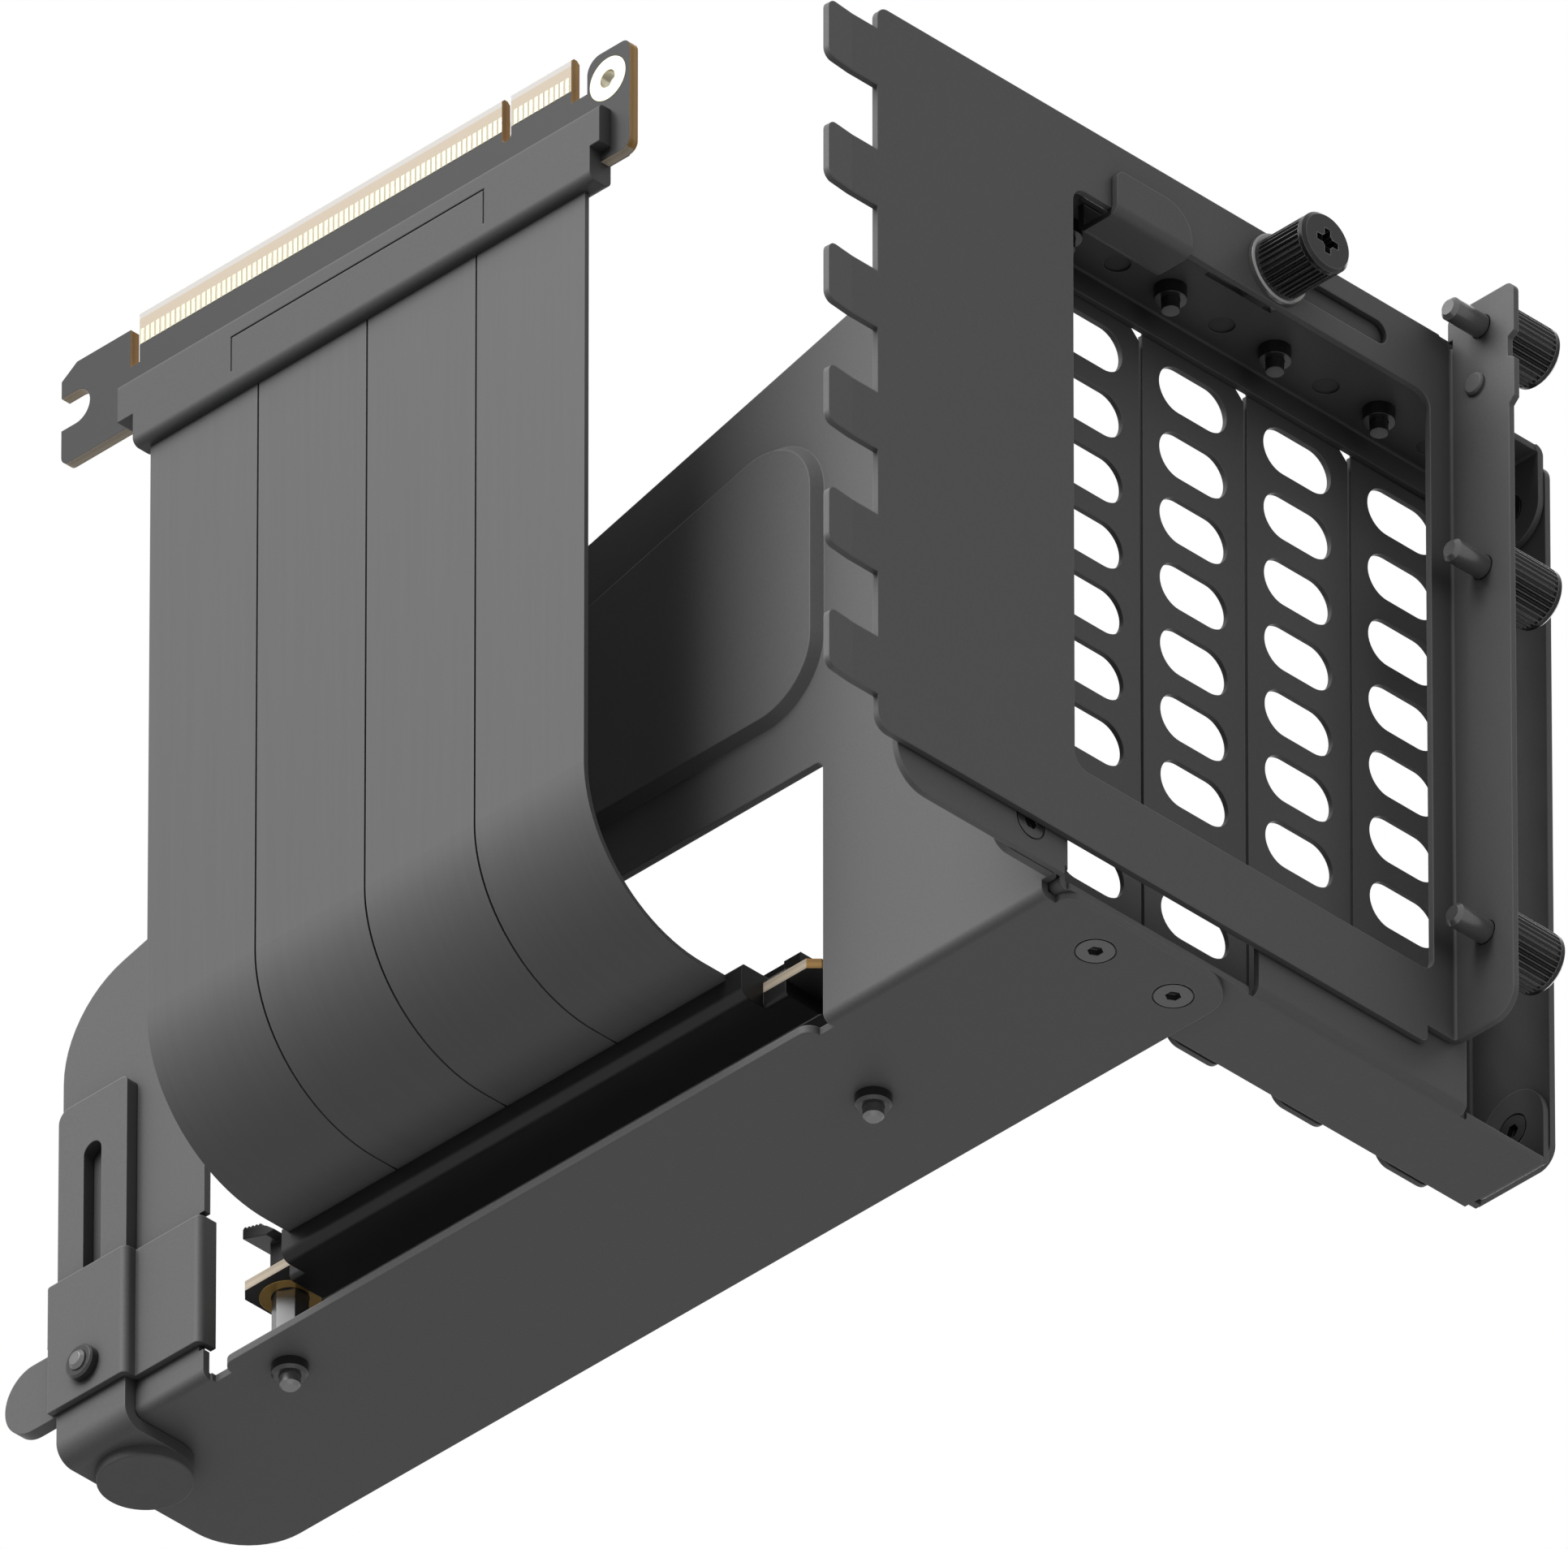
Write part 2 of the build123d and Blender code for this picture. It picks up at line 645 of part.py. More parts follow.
# Slot covers
for number, cover_y in enumerate(slot_ys, start=1):
    with BuildPart() as cover:
        half = (slot_pitch - cover_gap) / 2
        tab_near = cover_y - half + cover_gap
        tab_far = cover_y + half - cover_corner
        cover_back = cover_face_x - cover_t
        cover_fold_z = ledge_top + cover_t - fold_r
        with BuildSketch(at_x(cover_back)) as cover_face:
            outline((cover_y - tongue_w / 2, cover_low), (cover_y + tongue_w / 2, cover_low),
                    (cover_y + tongue_w / 2, cover_shoulder), (cover_y + half, cover_shoulder),
                    (cover_y + half, cover_corner_z), (tab_far, cover_corner_z + cover_corner),
                    (tab_far, cover_fold_z), (tab_near, cover_fold_z), (tab_near, ledge_lip_low + cover_gap),
                    (cover_y - half, ledge_lip_low), (cover_y - half, cover_shoulder),
                    (cover_y - tongue_w / 2, cover_shoulder))
            soften(cover_face, 2.5, (cover_y - tongue_w / 2, cover_low), (cover_y + tongue_w / 2, cover_low))
            with Locations((cover_y, vent_low + vent_pitch * (vent_rows - 1) / 2)):
                with GridLocations(0.1, vent_pitch, 1, vent_rows):
                    SlotOverall(vent_w, vent_h, mode=Mode.SUBTRACT)
        extrude(amount=cover_t)
        fold(at_y(tab_near), (cover_back + fold_r, cover_fold_z), 90, tab_near - tab_far, cover_t)
        with BuildSketch(at_z(ledge_top)) as cover_tab:
            tab_edge = cover_y + half
            outline((cover_back + fold_r, tab_near), (cover_tab_front, tab_near), (cover_tab_front, tab_edge),
                    (cover_screw_x - screw_d, tab_edge), (cover_screw_x - screw_d - cover_corner, tab_far),
                    (cover_back + fold_r, tab_far))
            soften(cover_tab, 1.5, (cover_tab_front, tab_near), (cover_tab_front, tab_edge))
            notch_w = cover_screw_d + 0.8
            with Locations((cover_screw_x, tab_edge)):
                SlotOverall(2 * (half - cover_screw_side) + notch_w, notch_w, rotation=90, mode=Mode.SUBTRACT)
        extrude(amount=cover_t)
    write(cover, f"slot_cover_{number}")


# Slot frame, with bent teeth on one edge and a screw flange on the other
with BuildPart() as frame:
    flange_fold_y = frame_right - fold_r
    frame_corner_y = flange_fold_y - frame_flange_gap
    frame_corner_z = frame_low + frame_flange_step
    with BuildSketch(at_x(frame_back)) as frame_face:
        outline((frame_left, frame_low), (frame_corner_y, frame_low), (frame_corner_y, frame_corner_z),
                (flange_fold_y, frame_corner_z), (flange_fold_y, frame_top - 1.5),
                (flange_fold_y - 2, frame_top), (frame_left, frame_top))
        soften(frame_face, 2.5, (frame_left, frame_low))
        soften(frame_face, 2, (frame_left, frame_top))
        soften(frame_face, 1.2, (frame_corner_y, frame_low))
        window_size = (window_right - window_left, window_high - window_low)
        with Locations(((window_left + window_right) / 2, (window_low + window_high) / 2)):
            RectangleRounded(*window_size, 2.5, mode=Mode.SUBTRACT)
        with Locations(((slide_slot_left + slide_slot_right) / 2, slide_slot_z)):
            SlotOverall(slide_slot_right - slide_slot_left, slide_slot_w, mode=Mode.SUBTRACT)
        with Locations(*[(frame_left - tooth_flat / 2, z) for z in tooth_zs]):
            Rectangle(tooth_flat + 0.02, tooth_h)
    extrude(amount=cage_t)
    tooth_angle = radians(tooth_bend)
    for tooth_z in tooth_zs:
        bent = Plane(origin=at_x(frame_back).from_local_coords((frame_left - tooth_flat, tooth_z, 0)),
                     x_dir=(sin(tooth_angle), -cos(tooth_angle), 0),
                     z_dir=(cos(tooth_angle), sin(tooth_angle), 0))
        with BuildSketch(bent) as tip:
            with Locations((tooth_bent / 2, 0)):
                Rectangle(tooth_bent, tooth_h)
            soften(tip, tooth_tip_r, (tooth_bent, tooth_h / 2), (tooth_bent, -tooth_h / 2))
        extrude(amount=cage_t)
    frame_fold_x = frame_back + fold_r
    fold(at_z(frame_corner_z), (frame_fold_x, flange_fold_y), 90, frame_top - 1.5 - frame_corner_z, cage_t)
    with BuildSketch(at_y(frame_right - cage_t)) as frame_flange:
        outline((frame_fold_x, frame_flange_low), (frame_flange_x - 1, frame_flange_low),
                (frame_flange_x - 1, frame_ear_low), (frame_flange_x, frame_ear_low + 1),
                (frame_flange_x, frame_notch_low), (frame_flange_x - 1.2, frame_notch_low + 0.7),
                (frame_flange_x - 1.2, frame_notch_high - 0.7), (frame_flange_x, frame_notch_high),
                (frame_flange_x, frame_flange_top), (frame_fold_x - 0.9, frame_flange_top),
                (frame_fold_x - 0.9, frame_top), (frame_fold_x, frame_top))
        soften(frame_flange, 4, (frame_flange_x - 1, frame_flange_low))
        soften(frame_flange, 1.5, (frame_flange_x, frame_flange_top), (frame_fold_x - 0.9, frame_flange_top))
        with Locations(*[(frame_screw_x, z) for z in frame_screw_z]):
            Circle(thumb_d / 2 + slip, mode=Mode.SUBTRACT)
    extrude(amount=-cage_t)
    rivet_face_y = frame_right - cage_t - frame_rivet_h + rivet_slope_h
    with BuildSketch(at_y(frame_right - cage_t)):
        with Locations(frame_rivet):
            Circle(frame_rivet_d / 2)
    extrude(amount=frame_rivet_h - rivet_slope_h)
    with BuildSketch(at_y(rivet_face_y)):
        with Locations(frame_rivet):
            Circle(frame_rivet_d / 2)
    extrude(amount=rivet_slope_h, taper=45)
write(frame, "slot_frame")


def phillips(plane, depth=cross_depth):
    """Cross recess cut from the plane into the head below it."""
    with BuildSketch(plane) as cross:
        Rectangle(cross_l, cross_w)
        Rectangle(cross_w, cross_l)
        Circle(cross_w)
    extrude(cross.sketch, amount=-depth, mode=Mode.SUBTRACT)


def thumbscrew(seat, head_l, shank_l):
    """Knurled thumbscrew: the head stands on the seat plane and the shank goes below it."""
    with BuildPart() as screw:
        with BuildSketch(seat):
            Circle(knob_d / 2)
            with PolarLocations(knob_d / 2, flutes):
                RegularPolygon(flute_d / 2, 4, mode=Mode.SUBTRACT)
        extrude(amount=head_l - knob_band)
        with BuildSketch(seat.offset(head_l - knob_band)):
            Circle(knob_d / 2)
        extrude(amount=knob_band)
        chamfer(screw.faces().sort_by(Axis(seat.origin, seat.z_dir))[-1].edges(), 0.5)
        with BuildSketch(seat):
            Circle(thumb_neck_d / 2)
        extrude(amount=-thumb_neck_l)
        with BuildSketch(seat.offset(-thumb_neck_l)):
            Circle(thumb_d / 2)
        extrude(amount=thumb_neck_l - shank_l)
        chamfer(screw.faces().sort_by(Axis(seat.origin, seat.z_dir))[0].edges(), 0.6)
        phillips(seat.offset(head_l))
    return screw


for number, screw_z in enumerate(frame_screw_z, start=1):
    seat = Plane(origin=front.from_local_coords((frame_screw_x, screw_z, -frame_right)), x_dir=(1, 0, 0),
                 z_dir=(0, 1, 0))
    flange_screw = thumbscrew(seat, knob_l, cage_t + thumb_reach)
    write(flange_screw, f"frame_thumbscrew_{number}")


# Screw that clamps the frame to the cage's front flange, through the frame's slot
slide_seat = facing_rear(frame_front + washer_t, slide_screw_y, slide_slot_z)
slide_reach = frame_front + washer_t - cage_front + slide_nut_t + 1
slide_screw = thumbscrew(slide_seat, slide_knob_l, slide_reach)
write(slide_screw, "slide_thumbscrew")

with BuildPart() as washer:
    with BuildSketch(slide_seat):
        Circle(washer_d / 2)
        Circle(thumb_d / 2 + hole_play, mode=Mode.SUBTRACT)
    extrude(amount=-washer_t)
    chamfer(washer.faces().sort_by(Axis.X)[-1].outer_wire().edges(), 0.25)
write(washer, "slide_washer")

with BuildPart() as slide_nut:
    with BuildSketch(at_x(cage_front)):
        with Locations((slide_screw_y, slide_slot_z)):
            RegularPolygon(slide_nut_hex / 2, 6, major_radius=False)
            Circle(thumb_d / 2 + hole_play, mode=Mode.SUBTRACT)
    extrude(amount=-slide_nut_t)
write(slide_nut, "slide_nut")

# Foot: an angle that hangs on the left leg, with a finger tab and a rubber pad
foot_y = -foot_t - slip / 2
foot_z = -foot_t - slip
with BuildPart() as foot:
    with BuildSketch(at_y(foot_y)) as foot_face:
        outline((foot_left, foot_z + foot_bend_r), (foot_right, foot_z + foot_bend_r),
                (foot_right, foot_top), (foot_left, foot_top))
        soften(foot_face, 2, (foot_left, foot_top))
        soften(foot_face, 1, (foot_right, foot_top))
        with Locations(((tab_x + foot_x) / 2, tab_z)):
            Rectangle(foot_x - tab_x, 2 * tab_r)
        with Locations((tab_x, tab_z)):
            Circle(tab_r)
        slot_top = foot_slot_top
        slot_low = lock_z - foot_slot_w / 2
        with Locations((foot_x, (slot_top + slot_low) / 2)):
            SlotOverall(slot_top - slot_low, foot_slot_w, rotation=90, mode=Mode.SUBTRACT)
    extrude(amount=-foot_t)
    fold(at_x(foot_left), (foot_y + foot_bend_r, foot_z + foot_bend_r), 180, foot_w, foot_t, foot_bend_r)
    with BuildSketch(at_z(foot_z)):
        outline((foot_left, foot_y + foot_bend_r), (foot_right, foot_y + foot_bend_r),
                (foot_right, pad_y), (foot_left, pad_y))
        with Locations((foot_x, pad_y)):
            Circle(foot_w / 2)
    extrude(amount=foot_t)
write(foot, "foot_bracket")

with BuildPart() as pad:
    with BuildSketch(at_z(foot_z)):
        with Locations((foot_x, pad_y)):
            Circle(pad_d / 2)
    extrude(amount=-pad_t)
    fillet(pad.faces().sort_by(Axis.Z)[0].edges(), 0.3)
write(pad, "foot_pad")

# Guide: a sheet folded round the leg and stepped over the foot
guide_face_y = foot_y - slip - cage_t
with BuildPart() as guide:
    half_t = cage_t / 2
    wrap_left = leg_left + 0.8 - half_t
    wrap_right = left_leg_right - 0.8 + half_t
    wrap_y = bracket_t + cage_t
    lap_y = -slip / 2 - half_t
    with BuildSketch(at_z(guide_open_z)):
        with BuildLine():
            FilletPolyline((wrap_left, wrap_y), (wrap_left, guide_face_y + half_t),
                           (guide_step_x - half_t, guide_face_y + half_t), (guide_step_x - half_t, lap_y),
                           (wrap_right, lap_y), (wrap_right, wrap_y), radius=half_t + 0.05)
        trace(line_width=cage_t)
    extrude(amount=guide_high - guide_open_z)
    with BuildSketch(at_z(guide_low)):
        with BuildLine():
            FilletPolyline((leg_left + 0.5, guide_face_y + half_t),
                           (guide_step_x - half_t, guide_face_y + half_t), (guide_step_x - half_t, lap_y),
                           (wrap_right, lap_y), (wrap_right, wrap_y), radius=half_t + 0.05)
        trace(line_width=cage_t)
    extrude(amount=guide_open_z - guide_low)
    drill(facing_front(foot_x, lock_z, guide_face_y), lock_d / 2 + hole_play, cage_t)
write(guide, "foot_guide")

with BuildPart() as lock_nut:
    with BuildSketch(at_y(guide_face_y)):
        with Locations((foot_x, lock_z)):
            Circle(collar_d / 2)
            Circle(lock_d / 2 + hole_play, mode=Mode.SUBTRACT)
    extrude(amount=collar_h)
    chamfer(lock_nut.faces().sort_by(Axis.Y)[0].outer_wire().edges(), 0.3)
write(lock_nut, "foot_lock_nut")

with BuildPart() as lock_screw:
    back = facing_back(foot_x, lock_z, bracket_t)
    with BuildSketch(back):
        Circle(lock_head_d / 2)
        with PolarLocations(lock_head_d / 2, flutes):
            RegularPolygon(flute_d / 2, 4, mode=Mode.SUBTRACT)
    extrude(amount=lock_head_l)
    with BuildSketch(back):
        Circle(lock_d / 2)
    extrude(amount=-(bracket_t - guide_face_y + collar_h + 0.7))
    chamfer(lock_screw.faces().sort_by(Axis.Y)[0].edges(), 0.5)
write(lock_screw, "foot_lock_screw")


# Ribbon: four flat strips that fall from the plug and turn in under the card's board
ribbon_mid_y = ribbon_y + ribbon_t / 2
ribbon_mid_z = ribbon_z + ribbon_t / 2
strip_pitch = ribbon_w / strip_count
for number in range(strip_count):
    with BuildPart() as strip:
        with BuildSketch(at_x(ribbon_left + number * strip_pitch)):
            with BuildLine():
                FilletPolyline((ribbon_mid_y, boot_low), (ribbon_mid_y, ribbon_mid_z),
                               (boot_front, ribbon_mid_z), radius=ribbon_bend_r - ribbon_t / 2)
            trace(line_width=ribbon_t)
        extrude(amount=strip_pitch - strip_gap)
    write(strip, f"ribbon_strip_{number + 1}")

# Plug board with its edge fingers, a plated screw hole and an open slot
long_xs = [finger_left + finger_pitch * n for n in range(fingers_long)]
short_xs = [key_right + key_to_finger + finger_pitch * n for n in range(fingers_short)]
finger_edge = long_xs[0] - finger_side
finger_right = short_xs[-1] + finger_far_side
ear_top = finger_top - plug_ear_drop
right_ear = finger_right + plug_ear_gap
left_ear = finger_edge - plug_left_gap
left_notch_low = notch_low - plug_left_drop
with BuildPart() as plug_board:
    with BuildSketch(at_y(plug_y)) as plug_outline:
        outline((plug_left, plug_low), (boot_left + 2, plug_low), (boot_left + 2, boot_floor),
                (boot_right, boot_floor), (boot_right, plug_right_low), (plug_right, plug_right_low),
                (plug_right, ear_top), (right_ear, ear_top), (right_ear, notch_low),
                (finger_right, notch_low), (finger_right, finger_top), (finger_edge, finger_top),
                (finger_edge, left_notch_low), (left_ear, left_notch_low), (left_ear, ear_top),
                (plug_left, ear_top))
        soften(plug_outline, 1.5, (plug_left, plug_low), (plug_right, plug_right_low), (plug_right, ear_top))
        soften(plug_outline, 2.5, (right_ear, ear_top))
        corner = plug_outline.vertices().sort_by_distance((plug_left, ear_top, 0))[0]
        chamfer([corner], plug_corner_w, plug_corner_h)
        with Locations(((key_left + key_right) / 2, finger_top)):
            SlotOverall(2 * notch_drop, key_right - key_left, rotation=90, mode=Mode.SUBTRACT)
        with Locations((plug_left, plug_slot_z)):
            SlotOverall(2 * plug_slot_depth, plug_slot_w, mode=Mode.SUBTRACT)
        with Locations(plug_hole):
            Circle(plated_r, mode=Mode.SUBTRACT)
    extrude(amount=-board_t)
    tip = [e for e in plug_board.edges().filter_by(Axis.X) if abs(e.center().Z - finger_top) < 0.01]
    chamfer(tip, 0.5)
write(plug_board, "plug_board")

with BuildPart() as fingers:
    for face_y, depth in ((plug_y, finger_t), (plug_y + board_t, -finger_t)):
        with BuildSketch(at_y(face_y)):
            with Locations(*[(x, finger_low + finger_h / 2) for x in long_xs + short_xs]):
                Rectangle(finger_w, finger_h)
        extrude(amount=depth)
write(fingers, "plug_fingers")

with BuildPart() as plated:
    for face_y, depth in ((plug_y, finger_t), (plug_y + board_t, -finger_t)):
        with BuildSketch(at_y(face_y)):
            with Locations(plug_hole):
                Circle(plated_ring_r)
        extrude(amount=depth)
    with BuildSketch(at_y(plug_y)):
        with Locations(plug_hole):
            Circle(plated_r)
    extrude(amount=-board_t)
    drill(facing_front(*plug_hole, plug_y - finger_t), plated_r - 0.25, board_t + 2 * finger_t)
write(plated, "plug_plated_hole")

# Plug housing, moulded round the board and the ribbon's end
with BuildPart() as plug_housing:
    with BuildSketch(at_x(boot_left - boot_far_side)) as housing_section:
        outline((boot_y, boot_step), (boot_y, boot_top), (boot_y + boot_back, boot_top),
                (boot_y + boot_back, boot_step))
        soften(housing_section, 0.8, (boot_y, boot_top), (boot_y + boot_back, boot_top),
               (boot_y + boot_back, boot_step))
    extrude(amount=boot_right - boot_left + boot_side + boot_far_side)
    with BuildSketch(at_x(boot_left)) as lower_section:
        outline((boot_y, boot_low), (boot_y, boot_step + 1), (boot_y + boot_lower_back, boot_step + 1),
                (boot_y + boot_lower_back, boot_low))
        soften(lower_section, 1.2, (boot_y, boot_low), (boot_y + boot_lower_back, boot_low))
    extrude(amount=boot_right - boot_left)
    add(plug_board.part, mode=Mode.SUBTRACT)
    # Thin frame line pressed into its face, open at the bottom
    line_top = boot_top - frame_line_drop
    line_low = line_top - frame_line_h
    inner_left = frame_line_left + frame_line_w
    inner_right = frame_line_right - frame_line_w
    with BuildSketch(at_y(boot_y)):
        outline((frame_line_left, line_low), (inner_left, line_low), (inner_left, line_top - frame_line_w),
                (inner_right, line_top - frame_line_w), (inner_right, line_low), (frame_line_right, line_low),
                (frame_line_right, line_top), (frame_line_left, line_top))
    extrude(amount=-frame_line_depth, mode=Mode.SUBTRACT)
write(plug_housing, "plug_housing")

# Socket board
with BuildPart() as socket_board:
    with BuildSketch(at_z(socket_board_z)) as board_face:
        outline((board_left, board_y), (board_right, board_y), (board_right, board_back),
                (board_left, board_back))
        chamfer([board_face.vertices().sort_by_distance((x, board_y, 0))[0]
                 for x in (board_left, board_right)], 1.5)
        soften(board_face, 1.5, (board_left, board_back), (board_right, board_back))
        with Locations(left_stand, right_stand):
            Circle(screw_d / 2 + hole_play, mode=Mode.SUBTRACT)
    extrude(amount=board_t)
write(socket_board, "socket_board")

with BuildPart() as rings:
    with BuildSketch(at_z(socket_board_z)):
        for place in (left_stand, right_stand):
            with Locations(place):
                Circle(ring_d / 2)
                Circle(stand_hex / 2 / cos(radians(30)) + 0.02, mode=Mode.SUBTRACT)
    extrude(amount=-finger_t)
write(rings, "socket_board_rings")

# Socket housing, moulded round the board's edge and the ribbon's other end
with BuildPart() as socket_housing:
    with BuildSketch(at_x(housing_left)) as wide_section:
        outline((board_y, housing_low), (housing_back, housing_low), (housing_back, housing_top),
                (board_y, housing_top))
        soften(wide_section, 0.8, (housing_back, housing_low), (housing_back, housing_top),
               (board_y, housing_low), (board_y, housing_top))
    extrude(amount=housing_right - housing_left)
    with BuildSketch(at_x(housing_nose_left)) as narrow_section:
        outline((boot_front, housing_low), (board_y + 1.2, housing_low), (board_y + 1.2, housing_nose_top),
                (boot_front, housing_nose_top))
        soften(narrow_section, 1.5, (boot_front, housing_low))
        soften(narrow_section, 0.5, (boot_front, housing_nose_top))
    extrude(amount=housing_nose_right - housing_nose_left)
    add(socket_board.part, mode=Mode.SUBTRACT)
write(socket_housing, "socket_housing")

# Card socket: end blocks, contact walls, key bridge and the cheeks that carry the latch
socket_low_y = slot_y - socket_w / 2
pivot_x = socket_left - pivot_gap
with BuildPart() as socket:
    with BuildSketch(at_z(socket_top_z)):
        with Locations((slot_x, slot_y)):
            Rectangle(socket_l, socket_w)
            Rectangle(socket_l - 2 * end_block, socket_w + 2, mode=Mode.SUBTRACT)
            Rectangle(socket_l - 2 * end_block, socket_w - 0.8)
        with Locations((socket_left + 0.2 - cheek_l / 2, slot_y)):
            Rectangle(cheek_l, socket_w)
            Rectangle(cheek_l + 2, socket_w - 2 * cheek_t, mode=Mode.SUBTRACT)
        with Locations((socket_left + 0.8, slot_y)):
            Rectangle(1.6, socket_w)
    extrude(amount=socket_h)
    with BuildSketch(at_z(socket_top_z + socket_h - card_depth)):
        slot_low_y = slot_y - card_t / 2
        slot_high_y = slot_y + card_t / 2
        outline((socket_left + end_wall, slot_low_y), (card_key_x - key_rib, slot_low_y),
                (card_key_x - key_rib, slot_high_y), (socket_left + end_wall, slot_high_y))
        outline((card_key_x + key_rib, slot_low_y), (socket_right - end_wall, slot_low_y),
                (socket_right - end_wall, slot_high_y), (card_key_x + key_rib, slot_high_y))
    extrude(amount=card_depth, mode=Mode.SUBTRACT)
    drill(facing_front(pivot_x, pivot_z, socket_low_y), pin_r + hole_play, socket_w)
    cheek_end = socket_left - cheek_l - 0.1
    over_socket = socket_top_z + socket_h + 1
    with BuildSketch(at_y(socket_low_y)):
        outline((cheek_end, cheek_low), (cheek_end, over_socket), (socket_left - cheek_step, over_socket),
                (socket_left - cheek_step, cheek_high))
    extrude(amount=-socket_w, mode=Mode.SUBTRACT)
write(socket, "card_socket")

contact_xs = [card_key_x - key_to_contact - finger_pitch * n for n in range(fingers_long)]
contact_xs += [card_key_x + key_to_contact + finger_pitch * n for n in range(fingers_short)]
contact_z = socket_top_z + socket_h - contact_drop - contact_h / 2
with BuildPart() as contacts:
    for face_y, depth in ((slot_low_y, -contact_t), (slot_high_y, contact_t)):
        with BuildSketch(at_y(face_y)):
            with Locations(*[(x, contact_z) for x in contact_xs]):
                Rectangle(contact_w, contact_h)
        extrude(amount=depth)
write(contacts, "socket_contacts")

# Latch that holds the card down: pivot pins, a nose over the card and a finger tab outside the board
with BuildPart() as latch:
    with BuildSketch(at_y(slot_y + arm_w / 2)) as arm:
        with Locations((pivot_x, pivot_z)):
            Circle(hub_r)
        outline((pivot_x - 1.2, arm_low), (arm_left + 4.3, arm_low + 1), (arm_left, arm_low + arm_h),
                (arm_left, arm_top), (arm_left + arm_t, arm_top - 0.4),
                (arm_left + arm_t, arm_low + arm_h + 1.8), (arm_left + arm_t + 3.3, arm_low + arm_h),
                (pivot_x - 1.2, arm_low + arm_h))
        outline((pivot_x - 1.4, pivot_z), (pivot_x - 1.4, nose_top),
                (socket_left + nose_reach - 0.8, nose_top), (socket_left + nose_reach, nose_top - 1),
                (socket_left - 0.8, nose_top - 2.7), (pivot_x + 1.6, pivot_z))
    extrude(amount=arm_w)
    with BuildSketch(at_y(slot_y - head_front)) as head:
        outline((head_left, head_top - 1.55), (head_left, head_top), (head_left + 3.7, head_top - 1),
                (head_left + 4.7, head_top - 1.6), (head_left + 6.1, head_top - 2.8),
                (head_left + 4.5, head_top - 3))
        teeth = [teeth_pitch * n for n in range(teeth_count)]
        with Locations(*[(head_left + 0.4 + x, head_top - 0.1 - head_slope * x) for x in teeth]):
            Circle(teeth_r)
    extrude(amount=-head_w)
    hub_w = socket_w - 2 * cheek_t - 0.4
    with BuildSketch(at_y(slot_y + hub_w / 2)):
        with Locations((pivot_x, pivot_z)):
            Circle(hub_r)
    extrude(amount=hub_w)
    with BuildSketch(at_y(slot_y + socket_w / 2 - 0.4)):
        with Locations((pivot_x, pivot_z)):
            Circle(pin_r)
    extrude(amount=socket_w - 0.8)
write(latch, "socket_latch")

# Standoffs with their studs, the collars under the base, and the board's screws
with BuildPart() as stands:
    for place in (left_stand, right_stand):
        with BuildSketch(at_z(bracket_t)):
            with Locations(place):
                RegularPolygon(stand_hex / 2, 6, major_radius=False, rotation=30)
        extrude(amount=socket_board_z - bracket_t)
        with BuildSketch(at_z(-stand_tip)) as stud:
            with Locations(place):
                Circle(screw_d / 2)
        extrude(amount=stand_tip + bracket_t)
        mouth = Plane(origin=top.from_local_coords((*place, socket_board_z)))
        drill(mouth, screw_d / 2 + hole_play, stand_bore)
    chamfer(stands.faces().filter_by(Plane.XY).group_by(Axis.Z)[0].edges(), 0.45)
write(stands, "board_standoffs")

with BuildPart() as stand_collars:
    with BuildSketch(at_z(0)):
        with Locations(left_stand, right_stand):
            Circle(collar_d / 2)
            Circle(screw_d / 2 + hole_play, mode=Mode.SUBTRACT)
    extrude(amount=-stand_collar_h)
    lower_faces = stand_collars.faces().filter_by(Plane.XY).group_by(Axis.Z)[0]
    chamfer([face.outer_wire().edges()[0] for face in lower_faces], 0.4)
write(stand_collars, "standoff_collars")

with BuildPart() as board_screws:
    for place in (left_stand, right_stand):
        with BuildSketch(at_z(socket_top_z)):
            with Locations(place):
                Circle(board_head_d / 2)
        extrude(amount=board_head_h)
        with BuildSketch(at_z(socket_top_z)):
            with Locations(place):
                Circle(screw_d / 2)
        extrude(amount=-board_t - board_screw_l)
    chamfer(board_screws.faces().filter_by(Plane.XY).group_by(Axis.Z)[-1].edges(), 0.5)
    for place in (left_stand, right_stand):
        head_face = Plane(origin=top.from_local_coords((*place, socket_top_z + board_head_h)))
        phillips(head_face, small_cross_depth)
write(board_screws, "board_screws")


def flat_screw(plane, head_d, length):
    """Countersunk screw with a hex recess, its head flush with the plane."""
    with BuildSketch(plane) as head:
        Circle(head_d / 2)
    extrude(head.sketch, amount=-(head_d - screw_d) / 2, taper=45)
    with BuildSketch(plane) as shank:
        Circle(screw_d / 2)
    extrude(shank.sketch, amount=-length)
    with BuildSketch(plane) as recess:
        RegularPolygon(hex_recess / 2, 6, major_radius=False)
    extrude(recess.sketch, amount=-hex_depth, mode=Mode.SUBTRACT)


with BuildPart() as base_screws:
    for y in base_screw_ys:
        flat_screw(underside(base_screw_x, y), base_head_d, base_screw_l)
write(base_screws, "base_screws")

with BuildPart() as flange_screws:
    for z in flange_screw_zs:
        flat_screw(facing_rear(cage_front + cage_t, flange_screw_y, z), wall_head_d, flange_screw_l)
write(flange_screws, "flange_screws")

with BuildPart() as wall_screws:
    for z in wall_screw_zs:
        flat_screw(facing_front(wall_tab_x, z, cage_right - cage_t), wall_head_d, 2 * cage_t + slip)
write(wall_screws, "wall_screws")

